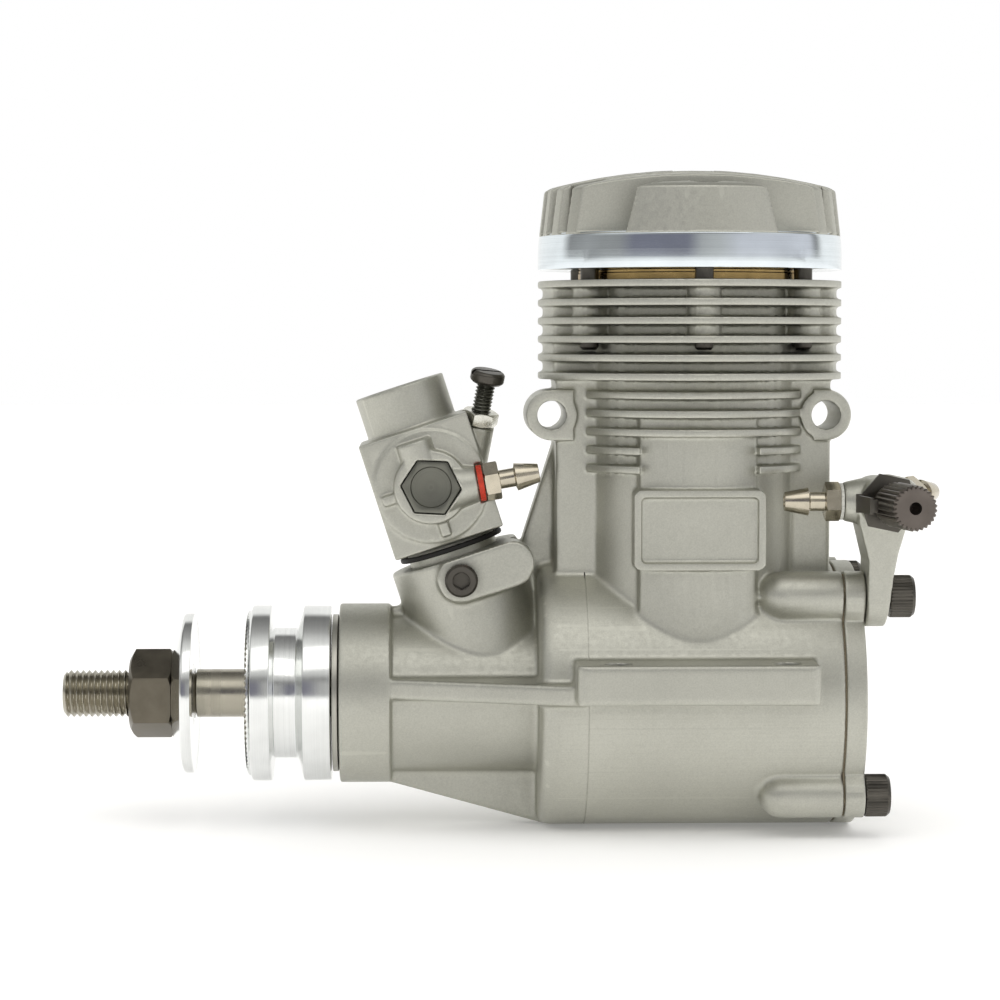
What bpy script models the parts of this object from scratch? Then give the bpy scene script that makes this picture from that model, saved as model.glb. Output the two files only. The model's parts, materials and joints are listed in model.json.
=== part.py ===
"""Model glow engine: a front-intake two-stroke of about 12 cc, modelled at bottom dead centre.

Lengths in this file are millimetres and are turned into metres where geometry is made.
Engine axes: X runs along the crankshaft with the propeller at -X, Z runs up the cylinder,
Y runs across with the exhaust at +Y.  The cylinder axis and crank axis cross at the engine
datum, which sits BACK behind the part's origin so that the origin is the centre of the
backplate's rear face.
"""

import math

import bmesh
import bpy
from mathutils import Matrix, Vector

MM = 0.001
WELD = 1e-6
GAP = 0.15

# Driving dimensions
BACK = 27.0             # backplate's rear face, behind the cylinder axis
THROW = 11.0            # half the stroke
ROD_LENGTH = 43.0
BORE_R = 13.25
CASE_R = 22.0           # crankcase barrel
CHAMBER_R = 20.5
CASE_REAR = 23.3
CASE_FRONT = -25.5
NOSE_R = 14.9
NOSE_FRONT = -58.2
NOSE_REAR = -49.5
HOUSING_R = 13.0
CORE_R = 18.2           # cylinder jacket between the fins
DECK_Z = 68.55
FIN_R = 25.2
FIN_PITCH = 3.0
FIN_THICK = 1.1
TOP_FIN_Z = 68.0
UPPER_FINS = 6
LOWER_FINS = 5
WHOLE_LOWER_FINS = 3     # the rest stop at the sides of the boost channel
BOOST_HALF = 9.55
BOLT_CIRCLE_R = 20.2
HEAD_SCREWS = 6
HEAD_SCREW_START = math.radians(-88.5)
HEAD_BASE_Z = 70.4
HEAD_RIM_Z = 76.0
SHAFT_R = 4.0
JOURNAL_R = 7.45
DISC_REAR = -5.6
DISC_FRONT = -15.0
EAR_X = 22.5
EAR_MID_X = -0.8
EAR_Z = 46.6
LUG_HOLE_X = 13.5
LUG_HOLE_Y = 26.0
NECK_TOP = 24.9
NECK_LEAN = math.radians(-18.0)
PIN_Z = ROD_LENGTH - THROW
BACK_SCREWS = ((-15.2, 17.3), (15.2, 17.3), (-17.0, -15.0), (17.0, -15.0))

CAST = ((0.56, 0.555, 0.53), 0.45, 0.85)
MACHINED = ((0.86, 0.87, 0.87), 0.2, 1.0)
STEEL = ((0.55, 0.53, 0.49), 0.3, 1.0)
BLACK_STEEL = ((0.09, 0.085, 0.08), 0.4, 0.9)
BRASS = ((0.62, 0.47, 0.22), 0.35, 1.0)
NICKEL = ((0.74, 0.69, 0.58), 0.2, 1.0)
RED_FIBRE = ((0.6, 0.06, 0.03), 0.6, 0.0)
RUBBER = ((0.02, 0.02, 0.02), 0.7, 0.0)
PAPER = ((0.25, 0.2, 0.13), 0.8, 0.0)
PLASTIC = ((0.8, 0.8, 0.76), 0.5, 0.0)

AXIS_TURN = {"X": (0, math.pi / 2, 0), "Y": (-math.pi / 2, 0, 0), "Z": (0, 0, 0)}


# ---------------------------------------------------------------- scene and frames

def clear_scene():
    for item in list(bpy.data.objects):
        bpy.data.objects.remove(item)


def new_collection(name):
    group = bpy.data.collections.new(name)
    bpy.context.scene.collection.children.link(group)
    return group


def new_frame(name, at, turn=(0, 0, 0), parent=None):
    """An empty that holds a local set of axes."""
    frame = bpy.data.objects.new(name, None)
    PARTS.objects.link(frame)
    frame.parent = parent
    frame.location = Vector(at) * MM
    frame.rotation_euler = turn
    return frame


clear_scene()
PARTS = new_collection("model_glow_engine")
GUIDES = new_collection("cutters")
ENGINE = new_frame("engine_datum", (-BACK, 0, 0))
NECK = new_frame("neck_axes", (-31.7, 0, 0), (0, NECK_LEAN, 0), ENGINE)
CARB = new_frame("carburettor_axes", (0, 0, 36.8), parent=NECK)
CARB_NIPPLE = new_frame("carburettor_nipple_axes", (0, -11.6, -0.8), (0, math.radians(98), 0), CARB)
IDLE = new_frame("idle_stop_axes", (-34.7, 1.0, 46.75), (math.radians(12), math.radians(10.5), 0), ENGINE)
NEEDLE = new_frame("needle_axes", (29.3, -18.0, 32.9), (0, 0, math.radians(6.5)), ENGINE)
INLET = new_frame("inlet_axes", (29.3, -18.0, 32.9), (0, math.radians(-90), 0), ENGINE)
OUTLET = new_frame("outlet_axes", (29.3, -18.0, 33.2), (0, math.radians(88), math.radians(50)), ENGINE)
CLAMP = new_frame("clamp_screw_axes", (0, -13.5, 21.0), (math.pi / 2, 0, 0), NECK)
PISTON = new_frame("wrist_pin_axes", (0, 0, PIN_Z), parent=ENGINE)


# ---------------------------------------------------------------- shapes

def finish(piece, look):
    colour, roughness, metallic = look
    name = "_".join(f"{round(c * 100):02d}" for c in colour)
    material = bpy.data.materials.get(name) or bpy.data.materials.new(name)
    material.use_nodes = True
    shader = material.node_tree.nodes["Principled BSDF"]
    shader.inputs["Base Color"].default_value = (*colour, 1)
    shader.inputs["Roughness"].default_value = roughness
    shader.inputs["Metallic"].default_value = metallic
    piece.data.materials.clear()
    piece.data.materials.append(material)
    return piece


def add_mesh(name, mesh, frame, at=(0, 0, 0), turn=(0, 0, 0), guide=False):
    piece = bpy.data.objects.new(name, mesh)
    (GUIDES if guide else PARTS).objects.link(piece)
    piece.parent = frame
    piece.location = Vector(at) * MM
    piece.rotation_euler = turn
    if guide:
        piece.hide_render = True
        piece.display_type = "WIRE"
    return piece


def mesh_of(name, form, smooth=True):
    mesh = bpy.data.meshes.new(name)
    form.to_mesh(mesh)
    form.free()
    if smooth:
        mesh.shade_smooth()
        mesh.set_sharp_from_angle(angle=math.radians(35))
    return mesh


def box(name, low, high, frame=None, guide=False):
    form = bmesh.new()
    bmesh.ops.create_cube(form, size=1)
    size = Vector(high) - Vector(low)
    middle = (Vector(high) + Vector(low)) / 2
    bmesh.ops.scale(form, vec=size * MM, verts=form.verts)
    return add_mesh(name, mesh_of(name, form, False), frame or ENGINE, middle, guide=guide)


def round_bar(name, radius, start, end, axis="Z", at=(0, 0, 0), frame=None, guide=False,
              segments=32, end_radius=None, spin=0.0):
    """Cylinder, cone or prism from start to end along an axis through the point at."""
    form = bmesh.new()
    bmesh.ops.create_cone(form, cap_ends=True, segments=segments, radius1=radius * MM,
                          radius2=(radius if end_radius is None else end_radius) * MM,
                          depth=(end - start) * MM)
    bmesh.ops.rotate(form, cent=(0, 0, 0), matrix=Matrix.Rotation(spin, 3, "Z"), verts=form.verts)
    bmesh.ops.translate(form, vec=(0, 0, (start + end) / 2 * MM), verts=form.verts)
    mesh = mesh_of(name, form, segments > 8)
    return add_mesh(name, mesh, frame or ENGINE, at, AXIS_TURN[axis], guide)


def hexagon(name, across_flats, start, end, **place):
    return round_bar(name, across_flats / math.sqrt(3), start, end, segments=6, **place)


def turned(name, outline, axis="Z", at=(0, 0, 0), frame=None, guide=False, segments=28):
    """Solid of revolution. The outline lists (station, radius), the far end first, outside first."""
    form = bmesh.new()
    points = [form.verts.new((radius * MM, 0, station * MM)) for station, radius in outline]
    for first, second in zip(points, points[1:]):
        form.edges.new((first, second))
    if outline[0][1] > 0:
        form.edges.new((points[-1], points[0]))
    piece = add_mesh(name, mesh_of(name, form, False), frame or ENGINE, at, AXIS_TURN[axis], guide)
    screw = piece.modifiers.new("turn", "SCREW")
    screw.steps = segments
    screw.render_steps = segments
    screw.use_merge_vertices = True
    screw.merge_threshold = WELD
    return piece


def ring(name, inner, outer, low, high, **place):
    return turned(name, [(high, inner), (high, outer), (low, outer), (low, inner)], **place)


def plate(name, outline, low, high, axis="Z", frame=None, guide=False):
    """A flat outline given thickness along an axis; the outline is in that axis' local plane."""
    curve = bpy.data.curves.new(name, "CURVE")
    curve.dimensions = "2D"
    curve.fill_mode = "BOTH"
    curve.extrude = (high - low) / 2 * MM
    spline = curve.splines.new("POLY")
    spline.points.add(len(outline) - 1)
    for point, (x, y) in zip(spline.points, outline):
        point.co = (x * MM, y * MM, 0, 1)
    spline.use_cyclic_u = True
    drawing = bpy.data.objects.new(name, curve)
    GUIDES.objects.link(drawing)
    graph = bpy.context.evaluated_depsgraph_get()
    mesh = bpy.data.meshes.new_from_object(drawing.evaluated_get(graph))
    bpy.data.objects.remove(drawing)
    form = bmesh.new()
    form.from_mesh(mesh)
    bmesh.ops.remove_doubles(form, verts=form.verts, dist=WELD)
    bmesh.ops.recalc_face_normals(form, faces=form.faces)
    bmesh.ops.translate(form, vec=(0, 0, (low + high) / 2 * MM), verts=form.verts)
    bpy.data.meshes.remove(mesh)
    return add_mesh(name, mesh_of(name, form), frame or ENGINE, turn=AXIS_TURN[axis], guide=guide)


def arc(centre, radius, start, end, steps):
    """Points along a round stretch of an outline, angles in degrees."""
    angles = [math.radians(start + (end - start) * i / steps) for i in range(steps + 1)]
    return [(centre[0] + radius * math.cos(a), centre[1] + radius * math.sin(a)) for a in angles]


def link_outline(first, first_r, second, second_r, steps=8):
    """Outline of a link: two round ends joined by straight sides."""
    along = Vector(second) - Vector(first)
    heading = math.degrees(math.atan2(along.y, along.x))
    spread = math.degrees(math.acos((first_r - second_r) / along.length))
    return (arc(first, first_r, heading + spread, heading + 360 - spread, 2 * steps)
            + arc(second, second_r, heading - spread, heading + spread, steps))


def combine(piece, tool, operation):
    tool.hide_render = True
    tool.display_type = "WIRE"
    change = piece.modifiers.new(tool.name, "BOOLEAN")
    change.operation = operation
    change.object = tool
    return piece


def join(piece, *tools):
    for tool in tools:
        combine(piece, tool, "UNION")
    return piece


def cut(piece, *tools):
    for tool in tools:
        combine(piece, tool, "DIFFERENCE")
    return piece


def keep_common(piece, tool):
    return combine(piece, tool, "INTERSECT")


def solve_as_manifold(piece):
    """For a piece whose many thin crossings the exact solver leaves open."""
    for change in piece.modifiers:
        if change.type == "BOOLEAN":
            change.solver = "MANIFOLD"


def guide_box(name, low, high, frame=None):
    return box(name, low, high, frame, guide=True)


def guide_bar(name, radius, start, end, **place):
    return round_bar(name, radius, start, end, guide=True, **place)


def guide_plate(name, outline, low, high, **place):
    return plate(name, outline, low, high, guide=True, **place)


# ---------------------------------------------------------------- crankcase and cylinder block

def barrel_and_nose():
    return turned("crankcase", [
        (CASE_REAR, 0), (CASE_REAR, CASE_R), (CASE_FRONT + 2, CASE_R), (CASE_FRONT + 0.6, CASE_R - 0.6),
        (CASE_FRONT, CASE_R - 2), (CASE_FRONT, HOUSING_R + 0.6), (CASE_FRONT - 0.6, HOUSING_R),
        (NOSE_REAR, HOUSING_R), (NOSE_REAR - 0.3, NOSE_R), (NOSE_FRONT + 0.5, NOSE_R),
        (NOSE_FRONT, NOSE_R - 0.5), (NOSE_FRONT, 0)], axis="X", segments=36)


def cylinder_jacket():
    """The round wall about the liner, with the fore and aft transfer walls beside it."""
    end = math.degrees(math.asin(8.5 / 24.4))
    ends = arc((0, 0), 24.4, -end, end, 4) + arc((0, 0), 24.4, 180 - end, 180 + end, 4)
    return [guide_bar("jacket_core", CORE_R, 6, DECK_Z - 0.35, segments=28),
            guide_box("jacket_walls", (-22.6, -8.5, 12), (22.6, 8.5, 53)),
            guide_plate("jacket_upper_walls", ends, 52.7, DECK_Z - 0.3)]


def cooling_fins():
    fins = []
    for i in range(UPPER_FINS):
        middle = TOP_FIN_Z - i * FIN_PITCH
        fins.append(guide_bar(f"upper_fin_{i + 1}", FIN_R, middle - FIN_THICK / 2,
                              middle + FIN_THICK / 2, segments=36))
    for i in range(LOWER_FINS):
        middle = TOP_FIN_Z - (UPPER_FINS + i) * FIN_PITCH
        fin = guide_bar(f"lower_fin_{i + 1}", CORE_R, middle - FIN_THICK / 2, middle + FIN_THICK / 2,
                        at=(0, -4, 0), segments=28)
        if i >= WHOLE_LOWER_FINS:
            cut(fin, guide_box("channel_gap", (-BOOST_HALF, -30, 30), (BOOST_HALF, -17, 45)))
        fins.append(fin)
    return fins


def head_screw_places():
    step = 2 * math.pi / HEAD_SCREWS
    return [(BOLT_CIRCLE_R * math.cos(HEAD_SCREW_START + i * step),
             BOLT_CIRCLE_R * math.sin(HEAD_SCREW_START + i * step)) for i in range(HEAD_SCREWS)]


def head_screw_bosses():
    return [guide_bar(f"head_screw_boss_{i + 1}", 2.8, TOP_FIN_Z - 3 * FIN_PITCH, DECK_Z - 0.4,
                      at=(x, y, 0), segments=10) for i, (x, y) in enumerate(head_screw_places())]


def boost_channel():
    """The bulge over the boost passage, with the blank name plate on it."""
    side = math.degrees(math.asin(BOOST_HALF / 19.4))
    outline = arc((0, 0), 19.4, -90 - side, -90 + side, 8) + [(BOOST_HALF, -6), (-BOOST_HALF, -6)]
    return [guide_plate("boost_channel_wall", outline, 6, 47),
            guide_box("name_plate", (-10.7, -20.4, 21.9), (10.7, -15.2, 34.8))]


def beam_lugs():
    lugs = []
    for side, name in ((-1, "near"), (1, "far")):
        outline = [(-20.2, side * 14), (18.6, side * 14), *corner(18.6, 29.5, 1.4, side),
                   *corner(-20.2, 29.5, -1.4, side)]
        lugs.append(guide_plate(f"{name}_beam_lug", outline, 1.2, 7.6))
        rib = [(-50.5, side * 10), (-50.5, side * 14.2), (-21, side * 24.5), (-18, side * 24.5),
               (-18, side * 10)]
        lugs.append(guide_plate(f"{name}_side_rib", rib, 0.5, 3.9))
    return lugs


def corner(x, y, radius, side):
    """A rounded outer corner of a lug at (x, side * y); a negative radius is for its -X end."""
    turn = arc((x - radius, side * (y - abs(radius))), abs(radius), 0, side * 90, 4)
    if radius > 0:
        return turn
    return [(2 * (x - radius) - px, py) for px, py in reversed(turn)]


def webs():
    """Mid-plane webs: under the front housing, from housing to cylinder, and at the collar."""
    lower = [(-50.5, -9), (-50.5, -14.6), (-24.5, -21.8), (-18, -21.8), (-18, -9)]
    upper = [(-21, 42), (-23.4, 42), (-27.6, 26.5), (-27.6, 14), (-21, 14)]
    collar = [(-50.4, 11), (-50.4, 14.5), (-46.8, 14.5), (-44, 11)]
    return [guide_plate("lower_web", along_y(lower), -2.5, 2.5, axis="Y"),
            guide_plate("front_web", along_y(upper), -3, 3, axis="Y"),
            guide_plate("collar_web", along_y(collar), -1.1, 1.1, axis="Y")]


def along_y(outline):
    """(X, Z) points as a plate across Y takes them: its local Y is the engine's -Z."""
    return [(x, -z) for x, z in outline]


def along_x(outline):
    """(Y, Z) points as a plate across X takes them: its local X is the engine's -Z."""
    return [(-z, y) for y, z in outline]


def carburettor_neck():
    pad = link_outline((0, -21.0), 3.9, (8.5, -20.9), 3.85)
    return [guide_bar("neck", 10.8, 3, NECK_TOP, frame=NECK, segments=28),
            guide_plate("neck_clamp_pad", pad, -13.3, -6, axis="Y", frame=NECK)]


def exhaust_stub():
    """A duct with a flat face, and an ear on each side of the cylinder for the silencer's long screws."""
    ears = [guide_bar(f"{name}_ear", 4.15, -9.4, 6.0, axis="Y", at=(EAR_MID_X + side * EAR_X, 0, EAR_Z),
                      segments=20) for side, name in ((-1, "front"), (1, "rear"))]
    return [*ears, guide_box("exhaust_duct", (-17.6, 8, 39.8), (17.6, 27.4, 52.6))]


def backplate_bosses():
    bosses = []
    for i, (y, z) in enumerate(BACK_SCREWS):
        radius = 4.1 if z > 0 else 3.6
        nose = [(CASE_REAR - 0.1, 0), (CASE_REAR - 0.1, radius), *[
            (10 + radius - radius * math.sin(a), radius * math.cos(a))
            for a in (math.radians(22.5 * k) for k in range(4))], (10, 0)]
        bosses.append(turned(f"backplate_boss_{i + 1}", nose, axis="X", at=(0, y, z), guide=True,
                             segments=14))
    return bosses


def crankcase_hollows():
    """Everything bored or cored out of the casting."""
    deep = CASE_REAR + 3
    return [guide_bar("crank_chamber", CHAMBER_R, -16.3, deep, axis="X", segments=32),
            guide_bar("rear_bearing_seat", 14.15, -23.75, 0, axis="X", segments=28),
            guide_bar("journal_bore", 7.7, -55, -18, axis="X", segments=24),
            guide_bar("front_bearing_seat", 11.15, -62, -50.25, axis="X", segments=28),
            guide_bar("liner_bore", 15.35, 2, 75, segments=28),
            guide_box("boost_passage", (-6.5, -17.9, 8), (6.5, -10, 46)),
            guide_box("rod_relief", (-5.2, 10, 8), (5.2, 17.0, 30)),
            guide_box("front_transfer_passage", (-20.2, -6.5, 21.3), (-12, 6.5, 48)),
            guide_box("rear_transfer_passage", (12, -6.5, 8), (18.7, 6.5, 48)),
            guide_box("exhaust_passage", (-12.5, 12, 42.3), (12.5, 32, 50.6))]


def crankcase_holes():
    holes = [guide_bar(f"{name}_ear_hole", 2.37, -12, 10, axis="Y", at=(EAR_MID_X + side * EAR_X, 0, EAR_Z),
                       segments=16) for side, name in ((-1, "front"), (1, "rear"))]
    for side, name in ((-1, "near"), (1, "far")):
        for end, place in ((-1, "front"), (1, "rear")):
            at = (end * LUG_HOLE_X, side * LUG_HOLE_Y, 0)
            holes.append(guide_bar(f"{name}_{place}_lug_hole", 2.25, -4, 12, at=at, segments=12))
    for i, (y, z) in enumerate(BACK_SCREWS):
        holes.append(guide_bar(f"backplate_screw_hole_{i + 1}", 1.9, 14, 30, axis="X", at=(0, y, z),
                               segments=10))
    for i, (x, y) in enumerate(head_screw_places()):
        holes.append(guide_bar(f"head_screw_hole_{i + 1}", 1.7, 57.2, 75, at=(x, y, 0), segments=8))
    return holes


def neck_hollows():
    return [guide_bar("stub_bore", 7.75, 14.5, 30, frame=NECK, segments=24),
            guide_bar("intake_bore", 6.2, 5, 20, frame=NECK, segments=20),
            guide_bar("clamp_screw_hole", 1.7, -16, -5, axis="Y", at=(0, 0, 21.0), frame=NECK, segments=12)]


def name_plate_recess():
    outline = rounded_rectangle(9.6, 5.35, 1.0)
    recess = guide_plate("name_plate_recess", outline, -22.5, -19.8, axis="Y")
    recess.location.z = 28.35 * MM
    return recess


def rounded_rectangle(half_width, half_height, radius):
    points = []
    for sx, sy, start in ((1, 1, 0), (-1, 1, 90), (-1, -1, 180), (1, -1, 270)):
        centre = (sx * (half_width - radius), sy * (half_height - radius))
        points += arc(centre, radius, start, start + 90, 4)
    return points


def make_crankcase():
    case = barrel_and_nose()
    join(case, *webs(), *cylinder_jacket(), *cooling_fins(), *head_screw_bosses(), *boost_channel())
    join(case, *beam_lugs(), *carburettor_neck(), *exhaust_stub(), *backplate_bosses())
    cut(case, *crankcase_hollows(), *neck_hollows(), *crankcase_holes(), name_plate_recess())
    solve_as_manifold(case)
    return finish(case, CAST)


# ---------------------------------------------------------------- backplate

def backplate_outline(radius_change=0.0):
    """The round cover with an ear at each screw, as (Y, Z) points going round."""
    points = []
    count = 48
    for i in range(count):
        angle = 2 * math.pi * i / count
        ray = Vector((math.cos(angle), math.sin(angle)))
        reach = CASE_R
        for index, (y, z) in enumerate(BACK_SCREWS):
            ear = 4.1 if z > 0 else 3.6
            centre = Vector((y, z))
            across = abs(ray.x * centre.y - ray.y * centre.x)
            if across < ear and ray.dot(centre) > 0:
                reach = max(reach, ray.dot(centre) + math.sqrt(ear * ear - across * across))
        points.append(tuple(ray * (reach + radius_change)))
    return points


def screw_guides(label, radius, low, high):
    return [guide_bar(f"{label}_{i + 1}", radius, low, high, axis="X", at=(0, y, z), segments=12)
            for i, (y, z) in enumerate(BACK_SCREWS)]


def make_backplate():
    cover = plate("backplate", along_x(backplate_outline()), CASE_REAR + 0.5, BACK, axis="X")
    plug = turned("backplate_plug", [
        (CASE_REAR + 2, 0), (CASE_REAR + 2, 20.0), (6.4, 20.0), (6.4, 17.5),
        (CASE_REAR - 1, 17.0), (CASE_REAR - 1, 0)], axis="X", guide=True)
    join(cover, plug)
    cut(cover, *screw_guides("cover_screw_hole", 2.2, 20, 30))
    return finish(cover, CAST)


def make_backplate_gasket():
    gasket = plate("backplate_gasket", along_x(backplate_outline(-0.3)), CASE_REAR + 0.1, CASE_REAR + 0.4,
                   axis="X")
    cut(gasket, guide_bar("gasket_opening", CHAMBER_R - 0.1, 20, 28, axis="X", segments=28),
        *screw_guides("gasket_screw_hole", 2.2, 20, 30))
    return finish(gasket, PAPER)


def cap_screw(name, thread_r, head_r, head_height, length, socket, **place):
    """A socket cap screw whose head sits above local zero and whose shank runs below it."""
    screw = turned(name, [
        (head_height, 0), (head_height, head_r - 0.3), (head_height - 0.3, head_r), (0, head_r),
        (0, thread_r), (0.4 - length, thread_r), (-length, thread_r - 0.4), (-length, 0)],
        segments=14, **place)
    recess = hexagon(f"{name}_socket", socket, head_height - 0.55 * head_height, head_height + 1,
                     guide=True, **place)
    cut(screw, recess)
    return finish(screw, BLACK_STEEL)


def make_backplate_screws():
    """The near upper screw also holds the needle bracket, so its head stands further out."""
    for i, (y, z) in enumerate(BACK_SCREWS):
        seat = BACK + 4.2 if i == 0 else BACK + 0.15
        cap_screw(f"backplate_screw_{i + 1}", 1.75, 3.5, 4.0, seat - 15.5, 3.0, axis="X", at=(seat, y, z))


# ---------------------------------------------------------------- crankshaft group

def make_crankshaft():
    shaft = turned("crankshaft", [
        (-43, 0), (-43, 5.0), (DISC_REAR, 5.0), (DISC_REAR, 18.5), (DISC_FRONT, 18.5), (DISC_FRONT, 8.7),
        (-16.4, 8.7), (-16.4, JOURNAL_R), (-49.9, JOURNAL_R), (-50.1, SHAFT_R), (-80.6, SHAFT_R),
        (-80.9, 3.35), (-103.5, 3.35), (-104.1, 2.8), (-104.1, 0)], axis="X")
    for side in (-1, 1):
        low = min(side * 8.5, side * 24)
        high = max(side * 8.5, side * 24)
        cut(shaft, guide_box(f"crank_disc_relief_{side}", (-20, low, -24), (-2, high, -2)))
    cut(shaft, guide_box("intake_window", (-38, -5.5, 3), (-27, 5.5, 12)))
    return finish(shaft, STEEL)


def make_crank_pin():
    pin = turned("crank_pin", [(4.8, 1.5), (4.8, 3.5), (DISC_REAR + 0.3, 3.5), (DISC_REAR + 0.3, 1.5)],
                 axis="X", at=(0, 0, -THROW), segments=20)
    return finish(pin, STEEL)


def make_bearing(place, middle, width, outer, inner, pitch_r, ball_r, balls):
    """Outer race, inner race and a ball set held by its cage."""
    low = middle - width / 2
    high = middle + width / 2
    finish(ring(f"{place}_bearing_outer_race", pitch_r + ball_r + GAP, outer, low, high, axis="X",
                segments=24), STEEL)
    finish(ring(f"{place}_bearing_inner_race", inner, pitch_r - ball_r - GAP, low, high, axis="X",
                segments=20), STEEL)
    cage = ring(f"{place}_bearing_balls", pitch_r - 0.6, pitch_r + 0.6, middle - 1, middle + 1, axis="X",
                segments=16)
    for i in range(balls):
        angle = 2 * math.pi * i / balls
        form = bmesh.new()
        bmesh.ops.create_icosphere(form, subdivisions=1, radius=ball_r * MM)
        ball = add_mesh(f"{place}_ball_{i + 1}", mesh_of("ball", form), ENGINE,
                        (middle, pitch_r * math.cos(angle), pitch_r * math.sin(angle)), guide=True)
        join(cage, ball)
    finish(cage, STEEL)


def make_drive_hub():
    hub = turned("drive_hub", [
        (-59.6, 6.8), (-59.6, 14.4), (-59.8, 14.6), (-64.1, 14.6), (-65.3, 11.0), (-69.0, 10.7),
        (-69.5, 14.6), (-72.5, 14.6), (-73.6, 13.4), (-73.6, 4.35), (-72.2, 4.35), (-71.9, 5.7)],
        axis="X", segments=28)
    return finish(hub, MACHINED)


def make_taper_collet():
    collet = turned("taper_collet", [(-60.2, 4.15), (-60.2, 6.55), (-71.4, 5.55), (-71.4, 4.15)],
                    axis="X", segments=20)
    cut(collet, guide_box("collet_slit", (-75, -0.5, 2), (-56, 0.5, 10)))
    return finish(collet, BRASS)


def make_thrust_washer():
    return finish(ring("thrust_washer", 4.3, 13.1, -59.35, -58.45, axis="X"), CAST)


def make_prop_washer():
    washer = turned("prop_washer", [(-82.4, 4.15), (-82.4, 13.3), (-83.9, 13.3), (-84.1, 13.1),
                                    (-85.9, 7.2), (-85.9, 4.15)], axis="X", segments=28)
    return finish(washer, MACHINED)


def make_prop_nut():
    """A 13 mm nut with a deep front chamfer."""
    nut = hexagon("prop_nut", 13.0, -93.05, -86.05, axis="X", spin=math.radians(4))
    chamfer = turned("prop_nut_chamfer", [
        (-85, 0), (-85, 6.6), (-86.05, 6.9), (-86.75, 7.9), (-91.6, 7.9), (-93.05, 5.9), (-95, 5.0),
        (-95, 0)], axis="X", guide=True, segments=30)
    keep_common(nut, chamfer)
    cut(nut, guide_bar("prop_nut_bore", 3.6, -96, -84, axis="X", segments=20))
    return finish(nut, BLACK_STEEL)


# ---------------------------------------------------------------- piston group

def make_piston():
    piston = turned("piston", [
        (10.0, 0), (10.0, 12.6), (9.6, 13.05), (-10, 13.1), (-10, 11.2), (4, 11.2), (6.6, 9.5), (6.6, 0)],
        frame=PISTON)
    for side in (-1, 1):
        low = min(side * 4.9, side * 12)
        join(piston, guide_bar(f"pin_boss_{side}", 4.9, low, low + 7.1, axis="X", frame=PISTON, segments=16))
    cut(piston, guide_bar("wrist_pin_hole", 3.15, -16, 16, axis="X", frame=PISTON, segments=16))
    return finish(piston, MACHINED)


def make_wrist_pin():
    finish(ring("wrist_pin", 1.8, 3.0, -11.0, 11.0, axis="X", frame=PISTON, segments=16), STEEL)
    for side, name in ((-1, "front"), (1, "rear")):
        low = min(side * 11.2, side * 12.5)
        finish(ring(f"{name}_pin_retainer", 1.0, 2.95, low, low + 1.3, axis="X", frame=PISTON,
                    segments=16), PLASTIC)


def make_connecting_rod():
    """Two eyes and a waisted shank; the eyes take bronze bushes."""
    rod = round_bar("connecting_rod", 5.0, -3.6, 3.6, axis="X", frame=PISTON, segments=20)
    big = guide_bar("big_end", 5.55, -4.0, 4.0, axis="X", at=(0, 0, -ROD_LENGTH), frame=PISTON,
                    segments=20)
    shank = guide_plate("rod_shank", along_x([(-3.0, -2.5), (3.0, -2.5), (3.9, -ROD_LENGTH + 3),
                                             (-3.9, -ROD_LENGTH + 3)]), -1.9, 1.9, axis="X", frame=PISTON)
    join(rod, big, shank)
    cut(rod, guide_bar("small_end_bore", 3.95, -6, 6, axis="X", frame=PISTON, segments=16),
        guide_bar("big_end_bore", 4.6, -6, 6, axis="X", at=(0, 0, -ROD_LENGTH), frame=PISTON, segments=20))
    return finish(rod, MACHINED)


def make_rod_bushes():
    finish(ring("small_end_bush", 3.15, 3.8, -3.6, 3.6, axis="X", frame=PISTON, segments=16), BRASS)
    finish(ring("big_end_bush", 3.65, 4.45, -4.0, 4.0, axis="X", at=(0, 0, -ROD_LENGTH), frame=PISTON,
                segments=20), BRASS)


# ---------------------------------------------------------------- liner and head

def make_cylinder_liner():
    """Brass sleeve with an exhaust port, a boost port and two transfer ports."""
    liner = turned("cylinder_liner", [
        (69.75, BORE_R), (69.75, 18.5), (68.75, 18.5), (68.7, 15.2), (24, 15.2), (24, BORE_R)])
    cut(liner, guide_box("exhaust_port", (-8, 9, 42.8), (8, 18, 50.2)),
        guide_box("boost_port", (-5.5, -18, 42.8), (5.5, -9, 48.2)),
        guide_box("front_transfer_port", (-18, -6, 42.8), (-9, 6, 48.2)),
        guide_box("rear_transfer_port", (9, -6, 42.8), (18, 6, 48.2)))
    return finish(liner, BRASS)


def make_head_gasket():
    return finish(ring("head_gasket", 13.4, 18.4, 69.9, 70.25), BRASS)


def dome_z(radius):
    """Height of the head's crowned top."""
    return 86.9 - 0.0056 * radius * radius


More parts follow.
